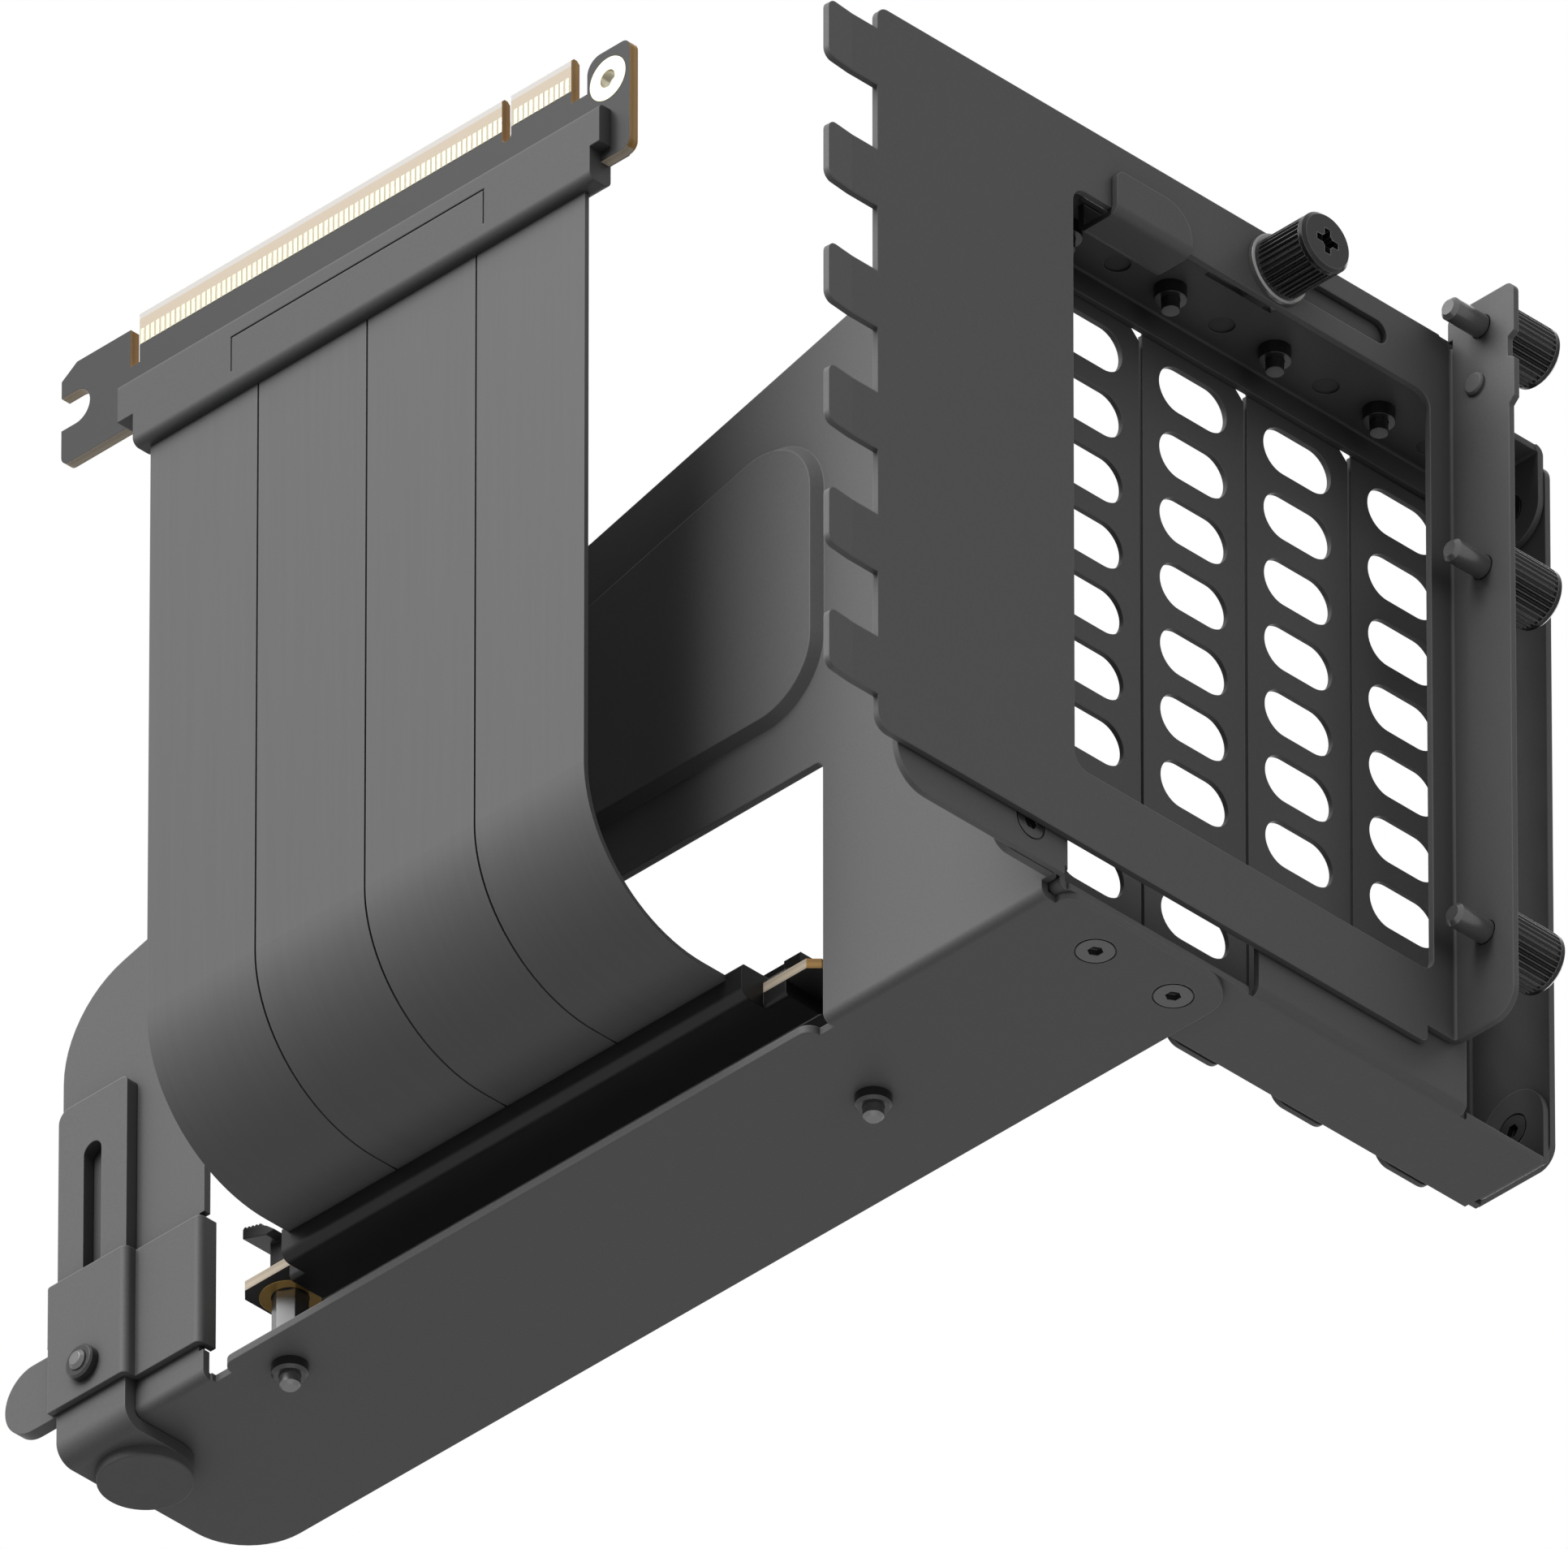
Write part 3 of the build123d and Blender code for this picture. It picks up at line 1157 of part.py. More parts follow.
with BuildPart() as cover_screws:
    seat_z = ledge_top + cover_t
    for y in cover_screw_ys:
        with BuildSketch(at_z(seat_z)):
            with Locations((cover_screw_x, y)):
                Circle(cover_head_d / 2)
        extrude(amount=cover_head_h)
        head_face = Plane(origin=top.from_local_coords((cover_screw_x, y, seat_z + cover_head_h)))
        phillips(head_face, small_cross_depth)
        with BuildSketch(at_z(seat_z)):
            with Locations((cover_screw_x, y)):
                Circle(cover_screw_d / 2)
        extrude(amount=cover_screw_tip - seat_z)
write(cover_screws, "cover_screws")

with BuildPart() as cover_collars:
    with BuildSketch(at_z(cage_ledge_z)):
        with Locations(*[(cover_screw_x, y) for y in cover_screw_ys]):
            Circle(cover_collar_d / 2)
            Circle(cover_screw_d / 2 + hole_play, mode=Mode.SUBTRACT)
    extrude(amount=-cover_collar_h)
write(cover_collars, "cover_screw_collars")
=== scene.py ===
"""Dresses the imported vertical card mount: finishes, camera, lamps and floor."""

import math

import bpy
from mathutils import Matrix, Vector


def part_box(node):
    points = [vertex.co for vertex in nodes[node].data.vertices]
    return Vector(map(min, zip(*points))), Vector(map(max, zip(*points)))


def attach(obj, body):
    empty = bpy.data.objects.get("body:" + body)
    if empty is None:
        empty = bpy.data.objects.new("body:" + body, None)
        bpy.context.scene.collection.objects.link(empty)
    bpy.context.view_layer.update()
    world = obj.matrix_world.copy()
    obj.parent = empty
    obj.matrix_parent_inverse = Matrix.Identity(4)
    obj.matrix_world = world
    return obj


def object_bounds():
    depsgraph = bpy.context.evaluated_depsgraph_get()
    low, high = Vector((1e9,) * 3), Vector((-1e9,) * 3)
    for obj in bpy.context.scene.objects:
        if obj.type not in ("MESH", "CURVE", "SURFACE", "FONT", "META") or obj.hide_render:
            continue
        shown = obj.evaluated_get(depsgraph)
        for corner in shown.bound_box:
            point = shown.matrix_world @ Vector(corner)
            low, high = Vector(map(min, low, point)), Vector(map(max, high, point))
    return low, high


bl_info = {
    "name": "Vertical Card Mount",
    "version": (1, 0, 0),
    "blender": (4, 5, 0),
    "location": "3D View > Sidebar > Card Mount",
    "description": "Finishes and stage for a vertical graphics card mount, on its CAD frame",
    "category": "Object",
}

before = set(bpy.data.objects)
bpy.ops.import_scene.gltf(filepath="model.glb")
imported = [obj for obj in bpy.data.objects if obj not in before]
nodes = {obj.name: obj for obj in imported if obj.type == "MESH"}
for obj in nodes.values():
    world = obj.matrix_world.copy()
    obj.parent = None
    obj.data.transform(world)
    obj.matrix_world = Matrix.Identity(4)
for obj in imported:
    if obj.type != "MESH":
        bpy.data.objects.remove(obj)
cad_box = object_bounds()

MM = 0.001

# The photograph is a plain isometric view from below: the camera stands on the cube's corner
# that looks at the front, the rear end and the underside.
TO_CAMERA = Vector((1, -1, -1)).normalized()
PHOTO_AIM = Vector((34.63, 2.92, 62.0)) * MM
PHOTO_WIDTH = 214.5 * MM
CAMERA_DISTANCE = 9.0   # so far away that perspective hardly shows
SENSOR = 36.0           # in millimetres, as Blender takes it

# Name, direction from the mount, size in metres and power in watts: a broad key from the front and
# above, with weaker boxes that light the rear end, the underside and the back.
LAMPS = (
    ("key_softbox", (-0.12, -1, 0.8), 1.1, 20.0),
    ("end_softbox", (1, -0.1, 0), 0.9, 2.2),
    ("under_softbox", (0.15, -0.15, -1), 0.9, 2.2),
    ("back_softbox", (-0.3, 1, 0.6), 1.1, 5.0),
)
LAMP_DISTANCE = 1.3
AMBIENT = 0.12          # the white surroundings' own light on dull faces
FLOOR_WIDTH = 12.0

EDGE_SAMPLES = 8        # rays for a rounded edge and for a corner's shade
FACES_AXIS = 0.6        # a normal's share along an axis from which its face looks that way
FLAT_FACE = 0.95        # the same for the flat faces of a board, without their rounded edges
MASK_MARGIN = 0.5 * MM  # from the outer fingers to the solder mask
WAVE_TURN = math.pi / 10    # length of one band in Blender's wave texture at scale 1


def linear(hex_colour):
    """Turns an sRGB hex colour into Blender's linear red, green and blue."""
    digits = hex_colour.lstrip("#")
    channels = [int(digits[i:i + 2], 16) / 255 for i in (0, 2, 4)]
    # The limit and the curve are the sRGB standard's.
    return tuple(c / 12.92 if c <= 0.04045 else ((c + 0.055) / 1.055) ** 2.4 for c in channels)


def colour_prop(name, description, hex_colour):
    """A colour that the user can change."""
    return bpy.props.FloatVectorProperty(
        name=name, description=description, subtype="COLOR", size=3, min=0, max=1,
        default=linear(hex_colour))


def length_prop(name, description, millimetres):
    """A length that the user can change, stored in metres."""
    return bpy.props.FloatProperty(
        name=name, description=description, unit="LENGTH", min=0, precision=5,
        default=millimetres * MM)


class CardMountColours(bpy.types.PropertyGroup):
    """Colours of the finishes."""

    coat: colour_prop("Powder coat", "Body colour of the coated steel sheets", "#717171")
    knob: colour_prop("Knobs", "Anodised thumbscrew heads", "#262626")
    oxide: colour_prop("Screws", "Black oxide screws, nuts and collars", "#3c3c3c")
    stud: colour_prop("Studs", "Black nickel on the studs and shanks", "#6e6e6e")
    flat_screw: colour_prop("Flat screws", "Black zinc on the base's screws", "#505050")
    zinc: colour_prop("Washer", "Bright plated washer", "#7c7c7b")
    rubber: colour_prop("Foot pad", "Moulded rubber", "#454545")
    sheath: colour_prop("Ribbon", "Outer skin of the flat cable", "#686868")
    housing: colour_prop("Housings", "Moulded plug housing and card latch", "#5c5c5c")
    socket: colour_prop("Card socket", "Moulded card socket and its housing", "#141414")
    mask: colour_prop("Solder mask", "Coated faces of the boards", "#323232")
    laminate: colour_prop("Board edge", "Bare glass laminate", "#d5c6b0")
    laminate_end: colour_prop("Board end", "Laminate cut across its layers", "#c09659")
    laminate_tip: colour_prop("Board tip", "Bevel that the edge board is plugged in by", "#dcd8d3")
    finger_gap: colour_prop("Finger gaps", "Laminate between the plug's fingers", "#d2cab2")
    gold: colour_prop("Gold", "Gold plated contacts and rings", "#e3b765")
    pale_gold: colour_prop("Pale gold", "Thin gold flash on the plug's fingers", "#e2dbc2")
    floor: colour_prop("Floor", "Plain pale floor", "#f4f4f3")


class CardMountSizes(bpy.types.PropertyGroup):
    """Sizes of surface patterns and edges."""

    edge_round: length_prop("Edge rounding", "Radius on cut sheet edges under the coat", 0.28)
    coat_grain: length_prop("Coat grain", "Spacing of the powder coat's pebble", 0.45)
    plastic_grain: length_prop("Plastic grain", "Spacing of the spark eroded mould texture", 0.35)
    # Painted highlight: how much paler the finishes are made along sharp edges, standing in for the
    # light that a rounded edge catches.
    painted_edge_highlight: bpy.props.FloatProperty(
        name="Edge lightening", description="How much paler finishes are along sharp edges", min=1,
        default=1.7)
    tip_bevel: length_prop("Board tip bevel", "Height of the edge board's bevel", 1.4)
    board_band: length_prop("Board band", "Width of one band of layers on a bare board edge", 1.257)


def add(tree, kind, inputs=None, **options):
    """Adds a node with its options. An input is a value, or another node's output to link."""
    made = tree.nodes.new(kind)
    for key, value in options.items():
        setattr(made, key, value)
    for key, value in (inputs or {}).items():
        if isinstance(value, bpy.types.NodeSocket):
            tree.links.new(value, made.inputs[key])
        else:
            made.inputs[key].default_value = value
    return made


def new_material(name):
    """An empty material with its node tree."""
    made = bpy.data.materials.new(name)
    made.use_nodes = True
    made.node_tree.nodes.clear()
    return made, made.node_tree


def place(tree):
    """The row frame's coordinates, in metres, which stay with the piece as it moves."""
    return add(tree, "ShaderNodeTexCoord").outputs["Object"]


def noise(tree, size, detail=2.0, stretch=(1, 1, 1)):
    """Noise whose spots are about size metres wide, divided along each axis by stretch."""
    spread = add(tree, "ShaderNodeMapping", {"Vector": place(tree), "Scale": stretch})
    return add(tree, "ShaderNodeTexNoise", {
        "Vector": spread.outputs["Vector"], "Scale": 1 / size, "Detail": detail,
        "Roughness": 0.55}).outputs["Fac"]


def between(tree, value, low, high):
    """Spreads a 0 to 1 value over a range."""
    return add(tree, "ShaderNodeMapRange", {
        "Value": value, "To Min": low, "To Max": high}).outputs["Result"]


def mix(tree, factor, first, second):
    """Mixes two colours."""
    # The node's sockets for colours are taken by number: its other kinds share their names.
    made = add(tree, "ShaderNodeMix", data_type="RGBA")
    sockets = made.inputs[0], made.inputs[6], made.inputs[7]
    for socket, value in zip(sockets, (factor, first, second)):
        if isinstance(value, bpy.types.NodeSocket):
            tree.links.new(value, socket)
        else:
            socket.default_value = value
    return made.outputs[2]


def shade(colour, amount=1.0):
    """A colour made lighter or darker by a factor, with its alpha."""
    return (*[min(1.0, c * amount) for c in colour[:3]], 1.0)


def mottle(tree, pattern, colour, dark, light):
    """A colour that a pattern varies between a darker and a lighter shade."""
    return mix(tree, pattern, shade(colour, dark), shade(colour, light))


def compare(tree, value, limit, above=True):
    """1 where a value is above (or below) a limit."""
    kind = "GREATER_THAN" if above else "LESS_THAN"
    return add(tree, "ShaderNodeMath", {0: value, 1: limit}, operation=kind).outputs["Value"]


def size_of(tree, value):
    """The value without its sign."""
    return add(tree, "ShaderNodeMath", {0: value}, operation="ABSOLUTE").outputs["Value"]


def both(tree, *values):
    """1 where all the values are 1."""
    result = values[0]
    for value in values[1:]:
        product = add(tree, "ShaderNodeMath", {0: result, 1: value}, operation="MULTIPLY")
        result = product.outputs["Value"]
    return result


def rounded(tree, radius):
    """Normals that run round each sharp edge, as a deburred and coated edge does."""
    return add(tree, "ShaderNodeBevel", {"Radius": radius}, samples=EDGE_SAMPLES).outputs["Normal"]


def rim(tree, radius):
    """1 along sharp edges and 0 on flat faces."""
    bare = add(tree, "ShaderNodeNewGeometry").outputs["Normal"]
    turned = add(tree, "ShaderNodeVectorMath", {
        0: bare, 1: rounded(tree, radius)}, operation="DOT_PRODUCT")
    # The product is the cosine of the turn: 0 up to 10 degrees, and 1 from 31 degrees.
    return add(tree, "ShaderNodeMapRange", {
        "Value": turned.outputs["Value"], "From Min": 0.985, "From Max": 0.86}).outputs["Result"]


def openness(tree, reach):
    """0 in a corner that pieces within reach close off, and 1 on an open face."""
    sky = add(tree, "ShaderNodeAmbientOcclusion", {"Distance": reach}, samples=EDGE_SAMPLES)
    # A face counts as closed off with under a third of its sky, and as open with nearly all.
    return add(tree, "ShaderNodeMapRange", {
        "Value": sky.outputs["AO"], "From Min": 0.3, "From Max": 0.95}).outputs["Result"]


def bump(tree, height, depth, normal=None):
    """Bumps of that depth in metres."""
    inputs = {"Height": height, "Distance": depth, "Strength": 1.0}
    if normal is not None:
        inputs["Normal"] = normal
    return add(tree, "ShaderNodeBump", inputs).outputs["Normal"]


def surface(tree, colour, roughness, normal=None, **values):
    """The Principled shader and the output. What is the same all over is set on its own socket."""
    inputs = {"Base Color": colour, "Roughness": roughness}
    inputs.update({key.replace("_", " "): value for key, value in values.items()})
    if normal is not None:
        inputs["Normal"] = normal
    shader = add(tree, "ShaderNodeBsdfPrincipled", inputs)
    add(tree, "ShaderNodeOutputMaterial", {"Surface": shader.outputs["BSDF"]})


def powder_coated_steel(colours, sizes):
    """Fine texture polyester powder coat on mild steel sheet."""
    # Sprayed and baked: an even satin skin, with a painted highlight that makes it paler on cut
    # edges. Its pebble is about 0.15 mm, drawn coarser so that it shows. Corners are shaded deeper
    # than the lamps do, as in the photograph.
    made, tree = new_material("powder_coated_steel")
    pebble = noise(tree, sizes.coat_grain, detail=3.0)
    drift = noise(tree, 30 * MM)
    tint = mottle(tree, pebble, colours.coat, dark=0.88, light=1.12)
    tint = mix(tree, between(tree, drift, low=0.0, high=0.5), tint, shade(colours.coat))
    # Painted highlight: sharp edges are made paler.
    tint = mix(tree, rim(tree, sizes.edge_round), tint, shade(colours.coat, sizes.painted_edge_highlight))
    # Painted shade: corners that pieces within 20 mm close off are made darker.
    tint = mix(tree, openness(tree, reach=20 * MM), shade(colours.coat, amount=0.35), tint)
    roughness = between(tree, noise(tree, 2.5 * MM), low=0.40, high=0.48)
    normal = bump(tree, pebble, depth=0.010 * MM, normal=rounded(tree, sizes.edge_round))
    surface(tree, tint, roughness, normal, Specular_IOR_Level=0.12)
    return made


def black_oxide_steel(colours, sizes):
    """Hot blackened and oiled steel screws and nuts."""
    # The thin oxide lets the metal's sheen through, a little cloudy where the oil dried.
    made, tree = new_material("black_oxide_steel")
    cloud = noise(tree, 2.5 * MM)
    tint = mottle(tree, cloud, colours.oxide, dark=0.9, light=1.1)
    # Painted highlight: sharp edges are made paler.
    tint = mix(tree, rim(tree, 0.12 * MM), tint, shade(colours.oxide, sizes.painted_edge_highlight))
    roughness = between(tree, cloud, low=0.26, high=0.34)
    surface(tree, tint, roughness, rounded(tree, 0.1 * MM), Metallic=0.6)
    return made


def anodised_aluminium(colours, sizes, name, knob_start=None):
    """Knurled aluminium, anodised dark grey. Before knob_start, along Y, it is a steel shank."""
    # Bright dipped before the dye, so the ridges of the knurl glint. Glints that fine are lost in
    # the render, so the ridges are coloured paler instead.
    made, tree = new_material(name)
    cloud = noise(tree, 2.5 * MM)
    ridge_light = 7 * sizes.painted_edge_highlight
    tint = mottle(tree, cloud, colours.knob, dark=0.92, light=1.08)
    tint = mix(tree, rim(tree, 0.25 * MM), tint, shade(colours.knob, ridge_light))
    if knob_start is not None:
        depth = add(tree, "ShaderNodeSeparateXYZ", {"Vector": place(tree)}).outputs["Y"]
        tint = mix(tree, compare(tree, depth, knob_start), shade(colours.stud), tint)
    roughness = between(tree, cloud, low=0.24, high=0.30)
    surface(tree, tint, roughness, Metallic=0.35, Specular_IOR_Level=0.3)
    return made


def plated_steel(name, colour):
    """Smooth zinc or nickel on a small steel part."""
    # Plated in a barrel: grey, with the crystals of the plating as a faint cloud.
    made, tree = new_material(name)
    cloud = noise(tree, 1.5 * MM)
    tint = mottle(tree, cloud, colour, dark=0.92, light=1.08)
    roughness = between(tree, cloud, low=0.30, high=0.40)
    surface(tree, tint, roughness, rounded(tree, 0.15 * MM), Metallic=0.7)
    return made


def nitrile_rubber(colours):
    """Moulded rubber pad."""
    # Carbon black rubber from a blasted mould: no gloss, with a faint bloom.
    made, tree = new_material("nitrile_rubber")
    grain = noise(tree, 0.4 * MM, detail=3.0)
    bloom = noise(tree, 6 * MM, detail=3.0)
    tint = mottle(tree, bloom, colours.rubber, dark=0.9, light=1.35)
    roughness = between(tree, grain, low=0.62, high=0.75)
    surface(tree, tint, roughness, bump(tree, grain, depth=0.02 * MM), IOR=1.5)
    return made


def vinyl_sheath(colours, sizes):
    """Extruded soft vinyl skin of the flat cable."""
    # Drawn through a die: smooth and dull, with faint draw lines along the cable. It is shaded
    # under the plug's housing, as in the photograph.
    made, tree = new_material("vinyl_sheath")
    grain = noise(tree, 0.35 * MM, detail=3.0)
    draw = noise(tree, 0.9 * MM, stretch=(1, 0.03, 0.03))
    tint = mottle(tree, draw, colours.sheath, dark=0.93, light=1.07)
    # Painted highlight: the strips' sharp edges are made paler.
    tint = mix(tree, rim(tree, 0.2 * MM), tint, shade(colours.sheath, sizes.painted_edge_highlight))
    # Painted shade: corners that pieces within 8 mm close off, such as under the plug's housing,
    # are made darker.
    tint = mix(tree, openness(tree, reach=8 * MM), shade(colours.sheath, amount=0.3), tint)
    roughness = between(tree, draw, low=0.46, high=0.52)
    normal = bump(tree, grain, depth=0.006 * MM, normal=rounded(tree, 0.15 * MM))
    surface(tree, tint, roughness, normal, Specular_IOR_Level=0.2)
    return made


def moulded_nylon(colours, sizes):
    """Glass filled nylon of the plug's housing and the card latch."""
    # Moulded in a spark eroded tool, whose texture gives an even dull satin. Its pits are about
    # 0.1 mm, drawn coarser so that they show.
    made, tree = new_material("moulded_nylon")
    grain = noise(tree, sizes.plastic_grain, detail=4.0)
    tint = mottle(tree, grain, colours.housing, dark=0.9, light=1.15)
    # Painted highlight: sharp edges are made paler.
    tint = mix(tree, rim(tree, 0.2 * MM), tint, shade(colours.housing, sizes.painted_edge_highlight))
    # Painted shade: corners that pieces within 8 mm close off are made darker.
    tint = mix(tree, openness(tree, reach=8 * MM), shade(colours.housing, amount=0.3), tint)
    roughness = between(tree, grain, low=0.44, high=0.54)
    normal = bump(tree, grain, depth=0.012 * MM, normal=rounded(tree, 0.3 * MM))
    surface(tree, tint, roughness, normal, Specular_IOR_Level=0.2)
    return made


def moulded_socket_resin(colours):
    """Liquid crystal polymer of the card socket and its housing."""
    # A stiff, heat proof resin that flows thin: near black with a slight flow sheen.
    made, tree = new_material("moulded_socket_resin")
    flow = noise(tree, 1.2 * MM, detail=3.0, stretch=(0.3, 1, 1))
    tint = mottle(tree, flow, colours.socket, dark=0.85, light=1.3)
    roughness = between(tree, flow, low=0.36, high=0.48)
    normal = bump(tree, flow, depth=0.006 * MM, normal=rounded(tree, 0.2 * MM))
    surface(tree, tint, roughness, normal, Specular_IOR_Level=0.25)
    return made


def laminate(colours, sizes, name, thick, fingers=None, tip=None):
    """Glass fibre board, thick along that axis, with solder mask on its faces and bare edges.

    fingers is the box of the edge fingers, and tip is the height from which the board is bevelled.
    """
    # The mask is a satin ink over copper. The routed edges show tan bands of glass and resin.
    made, tree = new_material(name)
    coords = place(tree)
    parts = add(tree, "ShaderNodeSeparateXYZ", {"Vector": coords}).outputs
    facings = add(tree, "ShaderNodeSeparateXYZ", {
        "Vector": add(tree, "ShaderNodeTexCoord").outputs["Normal"]}).outputs
    layers = add(tree, "ShaderNodeTexWave", {
        "Vector": coords, "Scale": WAVE_TURN / sizes.board_band, "Distortion": 0.6, "Detail": 2.0,
        "Detail Scale": 3.0}, wave_type="BANDS", bands_direction=thick).outputs["Fac"]
    weave = noise(tree, 0.3 * MM, detail=3.0)
    to_the_end = size_of(tree, facings["X"])
    edge = mix(tree, compare(tree, to_the_end, FACES_AXIS),
               mottle(tree, layers, colours.laminate, dark=0.85, light=1.05),
               mottle(tree, layers, colours.laminate_end, dark=0.8, light=1.1))
    face = mottle(tree, weave, colours.mask, dark=0.92, light=1.08)
    if fingers is not None:
        # The mask stops round the edge fingers.
        low, high = fingers
        inside = both(tree, compare(tree, parts["X"], low.x - MASK_MARGIN),
                      compare(tree, parts["X"], high.x + MASK_MARGIN, above=False),
                      compare(tree, parts["Z"], low.z))
        bare = mix(tree, compare(tree, parts["Z"], high.z), shade(colours.finger_gap),
                   shade(colours.laminate))
        face = mix(tree, inside, face, bare)
        bevel = both(tree, compare(tree, parts["Z"], tip),
                     compare(tree, to_the_end, FACES_AXIS, above=False))
        edge = mix(tree, bevel, edge, shade(colours.laminate_tip))
        face = mix(tree, bevel, face, shade(colours.laminate_tip))
    tint = mix(tree, compare(tree, size_of(tree, facings[thick]), FLAT_FACE), edge, face)
    roughness = between(tree, weave, low=0.40, high=0.50)
    normal = bump(tree, weave, depth=0.004 * MM, normal=rounded(tree, 0.12 * MM))
    surface(tree, tint, roughness, normal, Specular_IOR_Level=0.3)
    return made


def gold_plate(name, colour, roughness):
    """Gold over nickel on copper."""
    # Plated on etched copper, so it is smooth with a soft satin from the foil below.
    made, tree = new_material(name)
    foil = noise(tree, 0.25 * MM, detail=3.0)
    tint = mottle(tree, foil, colour, dark=0.94, light=1.04)
    normal = bump(tree, foil, depth=0.003 * MM, normal=rounded(tree, 0.06 * MM))
    surface(tree, tint, between(tree, foil, roughness, roughness + 0.08), normal, Metallic=0.6)
    return made


def pale_floor(colours):
    """Matt pale studio floor that shows from above and lets a camera below look past it."""
    # Painted board: no gloss and no pattern.
    made, tree = new_material("pale_studio_floor")
    shader = add(tree, "ShaderNodeBsdfDiffuse", {"Color": shade(colours.floor)})
    clear = add(tree, "ShaderNodeBsdfTransparent")
    back = add(tree, "ShaderNodeNewGeometry").outputs["Backfacing"]
    seen = add(tree, "ShaderNodeMixShader", {0: back, 1: shader.outputs[0], 2: clear.outputs[0]})
    add(tree, "ShaderNodeOutputMaterial", {"Surface": seen.outputs[0]})
    return made


def dress(names, material):
    """Gives CAD nodes a material."""
    for name in names:
        mesh = nodes[name].data
        mesh.materials.clear()
        mesh.materials.append(material)


def settings(context):
    """The user's colours and sizes."""
    return context.scene.card_mount_colours, context.scene.card_mount_sizes


def lamp(name, direction, size, power):
    """A soft square lamp that looks at the middle of the mount."""
    middle = (cad_box[0] + cad_box[1]) / 2
    data = bpy.data.lights.new(name, "AREA")
    data.shape = "SQUARE"
    data.size = size
    data.energy = power
    made = bpy.data.objects.new(name, data)
    made.location = middle + Vector(direction).normalized() * LAMP_DISTANCE
    made.rotation_euler = (middle - made.location).to_track_quat("-Z", "Y").to_euler()
    made.visible_camera = False
    bpy.context.collection.objects.link(made)


class CardMountStage(bpy.types.Operator):
    """Camera at the photograph's angle, soft lamps, white surroundings and a pale floor"""

    bl_idname = "card_mount.stage"
    bl_label = "Stage"

    def execute(self, context):
        scene = context.scene
        scene.view_settings.view_transform = "Standard"
        self.camera(scene)
        self.surroundings(scene)
        for values in LAMPS:
            lamp(*values)
        self.floor(context)
        return {"FINISHED"}

    def camera(self, scene):
        data = bpy.data.cameras.new("photo_camera")
        data.sensor_width = SENSOR
        data.lens = SENSOR * CAMERA_DISTANCE / PHOTO_WIDTH
        made = bpy.data.objects.new("photo_camera", data)
        made.location = PHOTO_AIM + TO_CAMERA * CAMERA_DISTANCE
        made.rotation_mode = "QUATERNION"
        made.rotation_quaternion = (-TO_CAMERA).to_track_quat("-Z", "Y")
        scene.collection.objects.link(made)
        scene.camera = made

    def surroundings(self, scene):
        # Pure white to the camera and in reflections, with only a little light of their own.
        world = bpy.data.worlds.new("white_studio")
        world.use_nodes = True
        tree = world.node_tree
        tree.nodes.clear()
        path = add(tree, "ShaderNodeLightPath")
        seen = path.outputs["Is Camera Ray"]
        for ray in ("Is Glossy Ray", "Is Transmission Ray"):
            either = add(tree, "ShaderNodeMath", {
                0: seen, 1: path.outputs[ray]}, operation="MAXIMUM")
            seen = either.outputs["Value"]
        strength = between(tree, seen, low=AMBIENT, high=1.0)
        light = add(tree, "ShaderNodeBackground", {"Color": (1, 1, 1, 1), "Strength": strength})
        add(tree, "ShaderNodeOutputWorld", {"Surface": light.outputs[0]})
        scene.world = world

    def floor(self, context):
        bpy.ops.mesh.primitive_plane_add(size=FLOOR_WIDTH, location=(0, 0, cad_box[0].z))
        made = context.object
        made.name = "studio_floor"
        made.data.materials.append(pale_floor(settings(context)[0]))
        for ray in ("diffuse", "glossy", "transmission", "shadow"):
            setattr(made, "visible_" + ray, False)
        # The mount stands on its foot, so the floor goes down with the foot.
        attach(made, "foot")


class CardMountSheets(bpy.types.Operator):
    """Powder coated sheets: bracket, cage, covers, slot frame, foot bracket and guide"""

    bl_idname = "card_mount.sheets"
    bl_label = "Coated sheets"

    def execute(self, context):
        covers = [name for name in nodes if name.startswith("slot_cover_")]
        dress(["base_side_bracket", "slot_cage", "cage_side_wall", "slot_frame", "foot_bracket",
               "foot_guide", *covers], powder_coated_steel(*settings(context)))
        return {"FINISHED"}


class CardMountKnobs(bpy.types.Operator):
    """Thumbscrews and the slide's washer"""

    bl_idname = "card_mount.knobs"
    bl_label = "Thumbscrews"

    def execute(self, context):
        colours, sizes = settings(context)
        knobs = [name for name in nodes if name.startswith("frame_thumbscrew_")]
        flange_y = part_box("slot_frame")[1].y
        dress(knobs, anodised_aluminium(colours, sizes, "anodised_knob_on_steel", flange_y))
        dress(["slide_thumbscrew"], anodised_aluminium(colours, sizes, "anodised_knob"))
        dress(["slide_washer"], plated_steel("zinc_plated_steel", colours.zinc))
        return {"FINISHED"}


class CardMountFasteners(bpy.types.Operator):
    """Screws, nuts, collars and stand-offs"""

    bl_idname = "card_mount.fasteners"
    bl_label = "Fasteners"

    def execute(self, context):
        colours, sizes = settings(context)
        dress(["slide_nut", "foot_lock_nut", "standoff_collars", "board_screws", "flange_screws",
               "wall_screws", "cover_screws", "cover_screw_collars"],
              black_oxide_steel(colours, sizes))
        dress(["foot_lock_screw", "board_standoffs"],
              plated_steel("black_nickel_steel", colours.stud))
        dress(["base_screws"], plated_steel("black_zinc_steel", colours.flat_screw))
        return {"FINISHED"}


class CardMountFoot(bpy.types.Operator):
    """Rubber pad of the foot"""

    bl_idname = "card_mount.foot"
    bl_label = "Foot pad"

    def execute(self, context):
        dress(["foot_pad"], nitrile_rubber(settings(context)[0]))
        return {"FINISHED"}


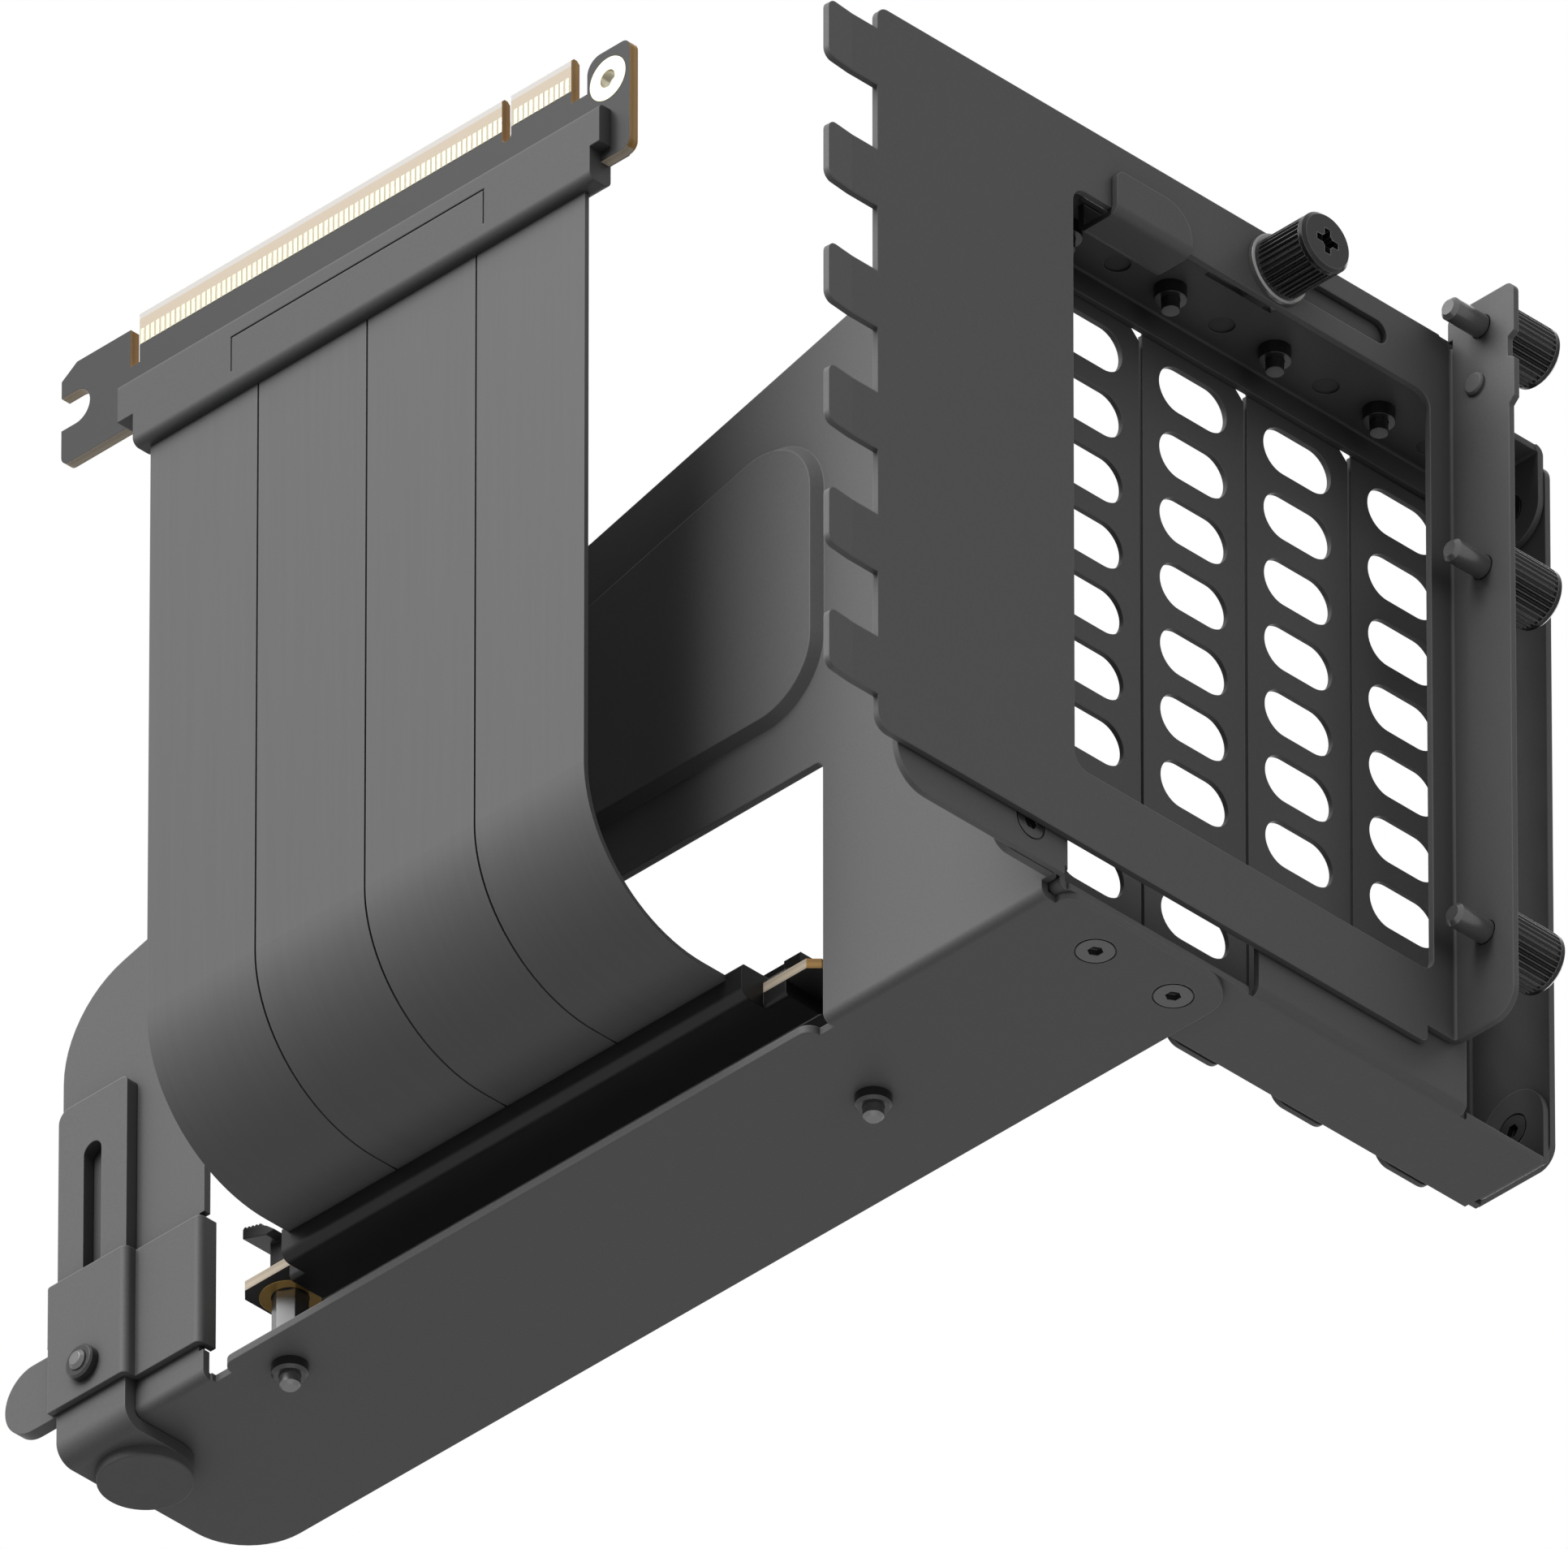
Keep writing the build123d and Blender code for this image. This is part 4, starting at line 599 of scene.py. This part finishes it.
class CardMountRibbon(bpy.types.Operator):
    """Four side by side strips of the flat riser cable"""

    bl_idname = "card_mount.ribbon"
    bl_label = "Ribbon"

    def execute(self, context):
        strips = [name for name in nodes if name.startswith("ribbon_strip_")]
        dress(strips, vinyl_sheath(*settings(context)))
        return {"FINISHED"}


class CardMountPlug(bpy.types.Operator):
    """Edge board that plugs into the motherboard, and its housing"""

    bl_idname = "card_mount.plug"
    bl_label = "Plug"

    def execute(self, context):
        colours, sizes = settings(context)
        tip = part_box("plug_board")[1].z - sizes.tip_bevel
        dress(["plug_board"],
              laminate(colours, sizes, "plug_laminate", "Y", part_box("plug_fingers"), tip))
        dress(["plug_fingers", "plug_plated_hole"],
              gold_plate("flash_gold", colours.pale_gold, roughness=0.3))
        dress(["plug_housing"], moulded_nylon(colours, sizes))
        return {"FINISHED"}


class CardMountSocket(bpy.types.Operator):
    """Card socket, its board, housing, contacts and latch"""

    bl_idname = "card_mount.socket"
    bl_label = "Socket"

    def execute(self, context):
        colours, sizes = settings(context)
        dress(["socket_board"], laminate(colours, sizes, "socket_laminate", "Z"))
        dress(["socket_board_rings", "socket_contacts"],
              gold_plate("hard_gold", colours.gold, roughness=0.25))
        dress(["card_socket", "socket_housing"], moulded_socket_resin(colours))
        dress(["socket_latch"], moulded_nylon(colours, sizes))
        return {"FINISHED"}


class CardMountPanel(bpy.types.Panel):
    """Lists the mount's groups, colours and sizes"""

    bl_idname = "VIEW3D_PT_card_mount"
    bl_label = "Card Mount"
    bl_space_type = "VIEW_3D"
    bl_region_type = "UI"
    bl_category = "Card Mount"

    def draw(self, context):
        layout = self.layout
        for operator in OPERATORS:
            layout.operator(operator.bl_idname)
        for group in settings(context):
            box = layout.box()
            for name in group.__annotations__:
                box.prop(group, name)


OPERATORS = (CardMountStage, CardMountSheets, CardMountKnobs, CardMountFasteners, CardMountFoot,
             CardMountRibbon, CardMountPlug, CardMountSocket)
CLASSES = (CardMountColours, CardMountSizes, *OPERATORS, CardMountPanel)


def register():
    for cls in CLASSES:
        bpy.utils.register_class(cls)
    bpy.types.Scene.card_mount_colours = bpy.props.PointerProperty(type=CardMountColours)
    bpy.types.Scene.card_mount_sizes = bpy.props.PointerProperty(type=CardMountSizes)


def unregister():
    del bpy.types.Scene.card_mount_sizes
    del bpy.types.Scene.card_mount_colours
    for cls in reversed(CLASSES):
        bpy.utils.unregister_class(cls)


def main():
    register()
    bpy.ops.card_mount.stage()
    bpy.ops.card_mount.sheets()
    bpy.ops.card_mount.knobs()
    bpy.ops.card_mount.fasteners()
    bpy.ops.card_mount.foot()
    bpy.ops.card_mount.ribbon()
    bpy.ops.card_mount.plug()
    bpy.ops.card_mount.socket()


if __name__ == "__main__":
    main()
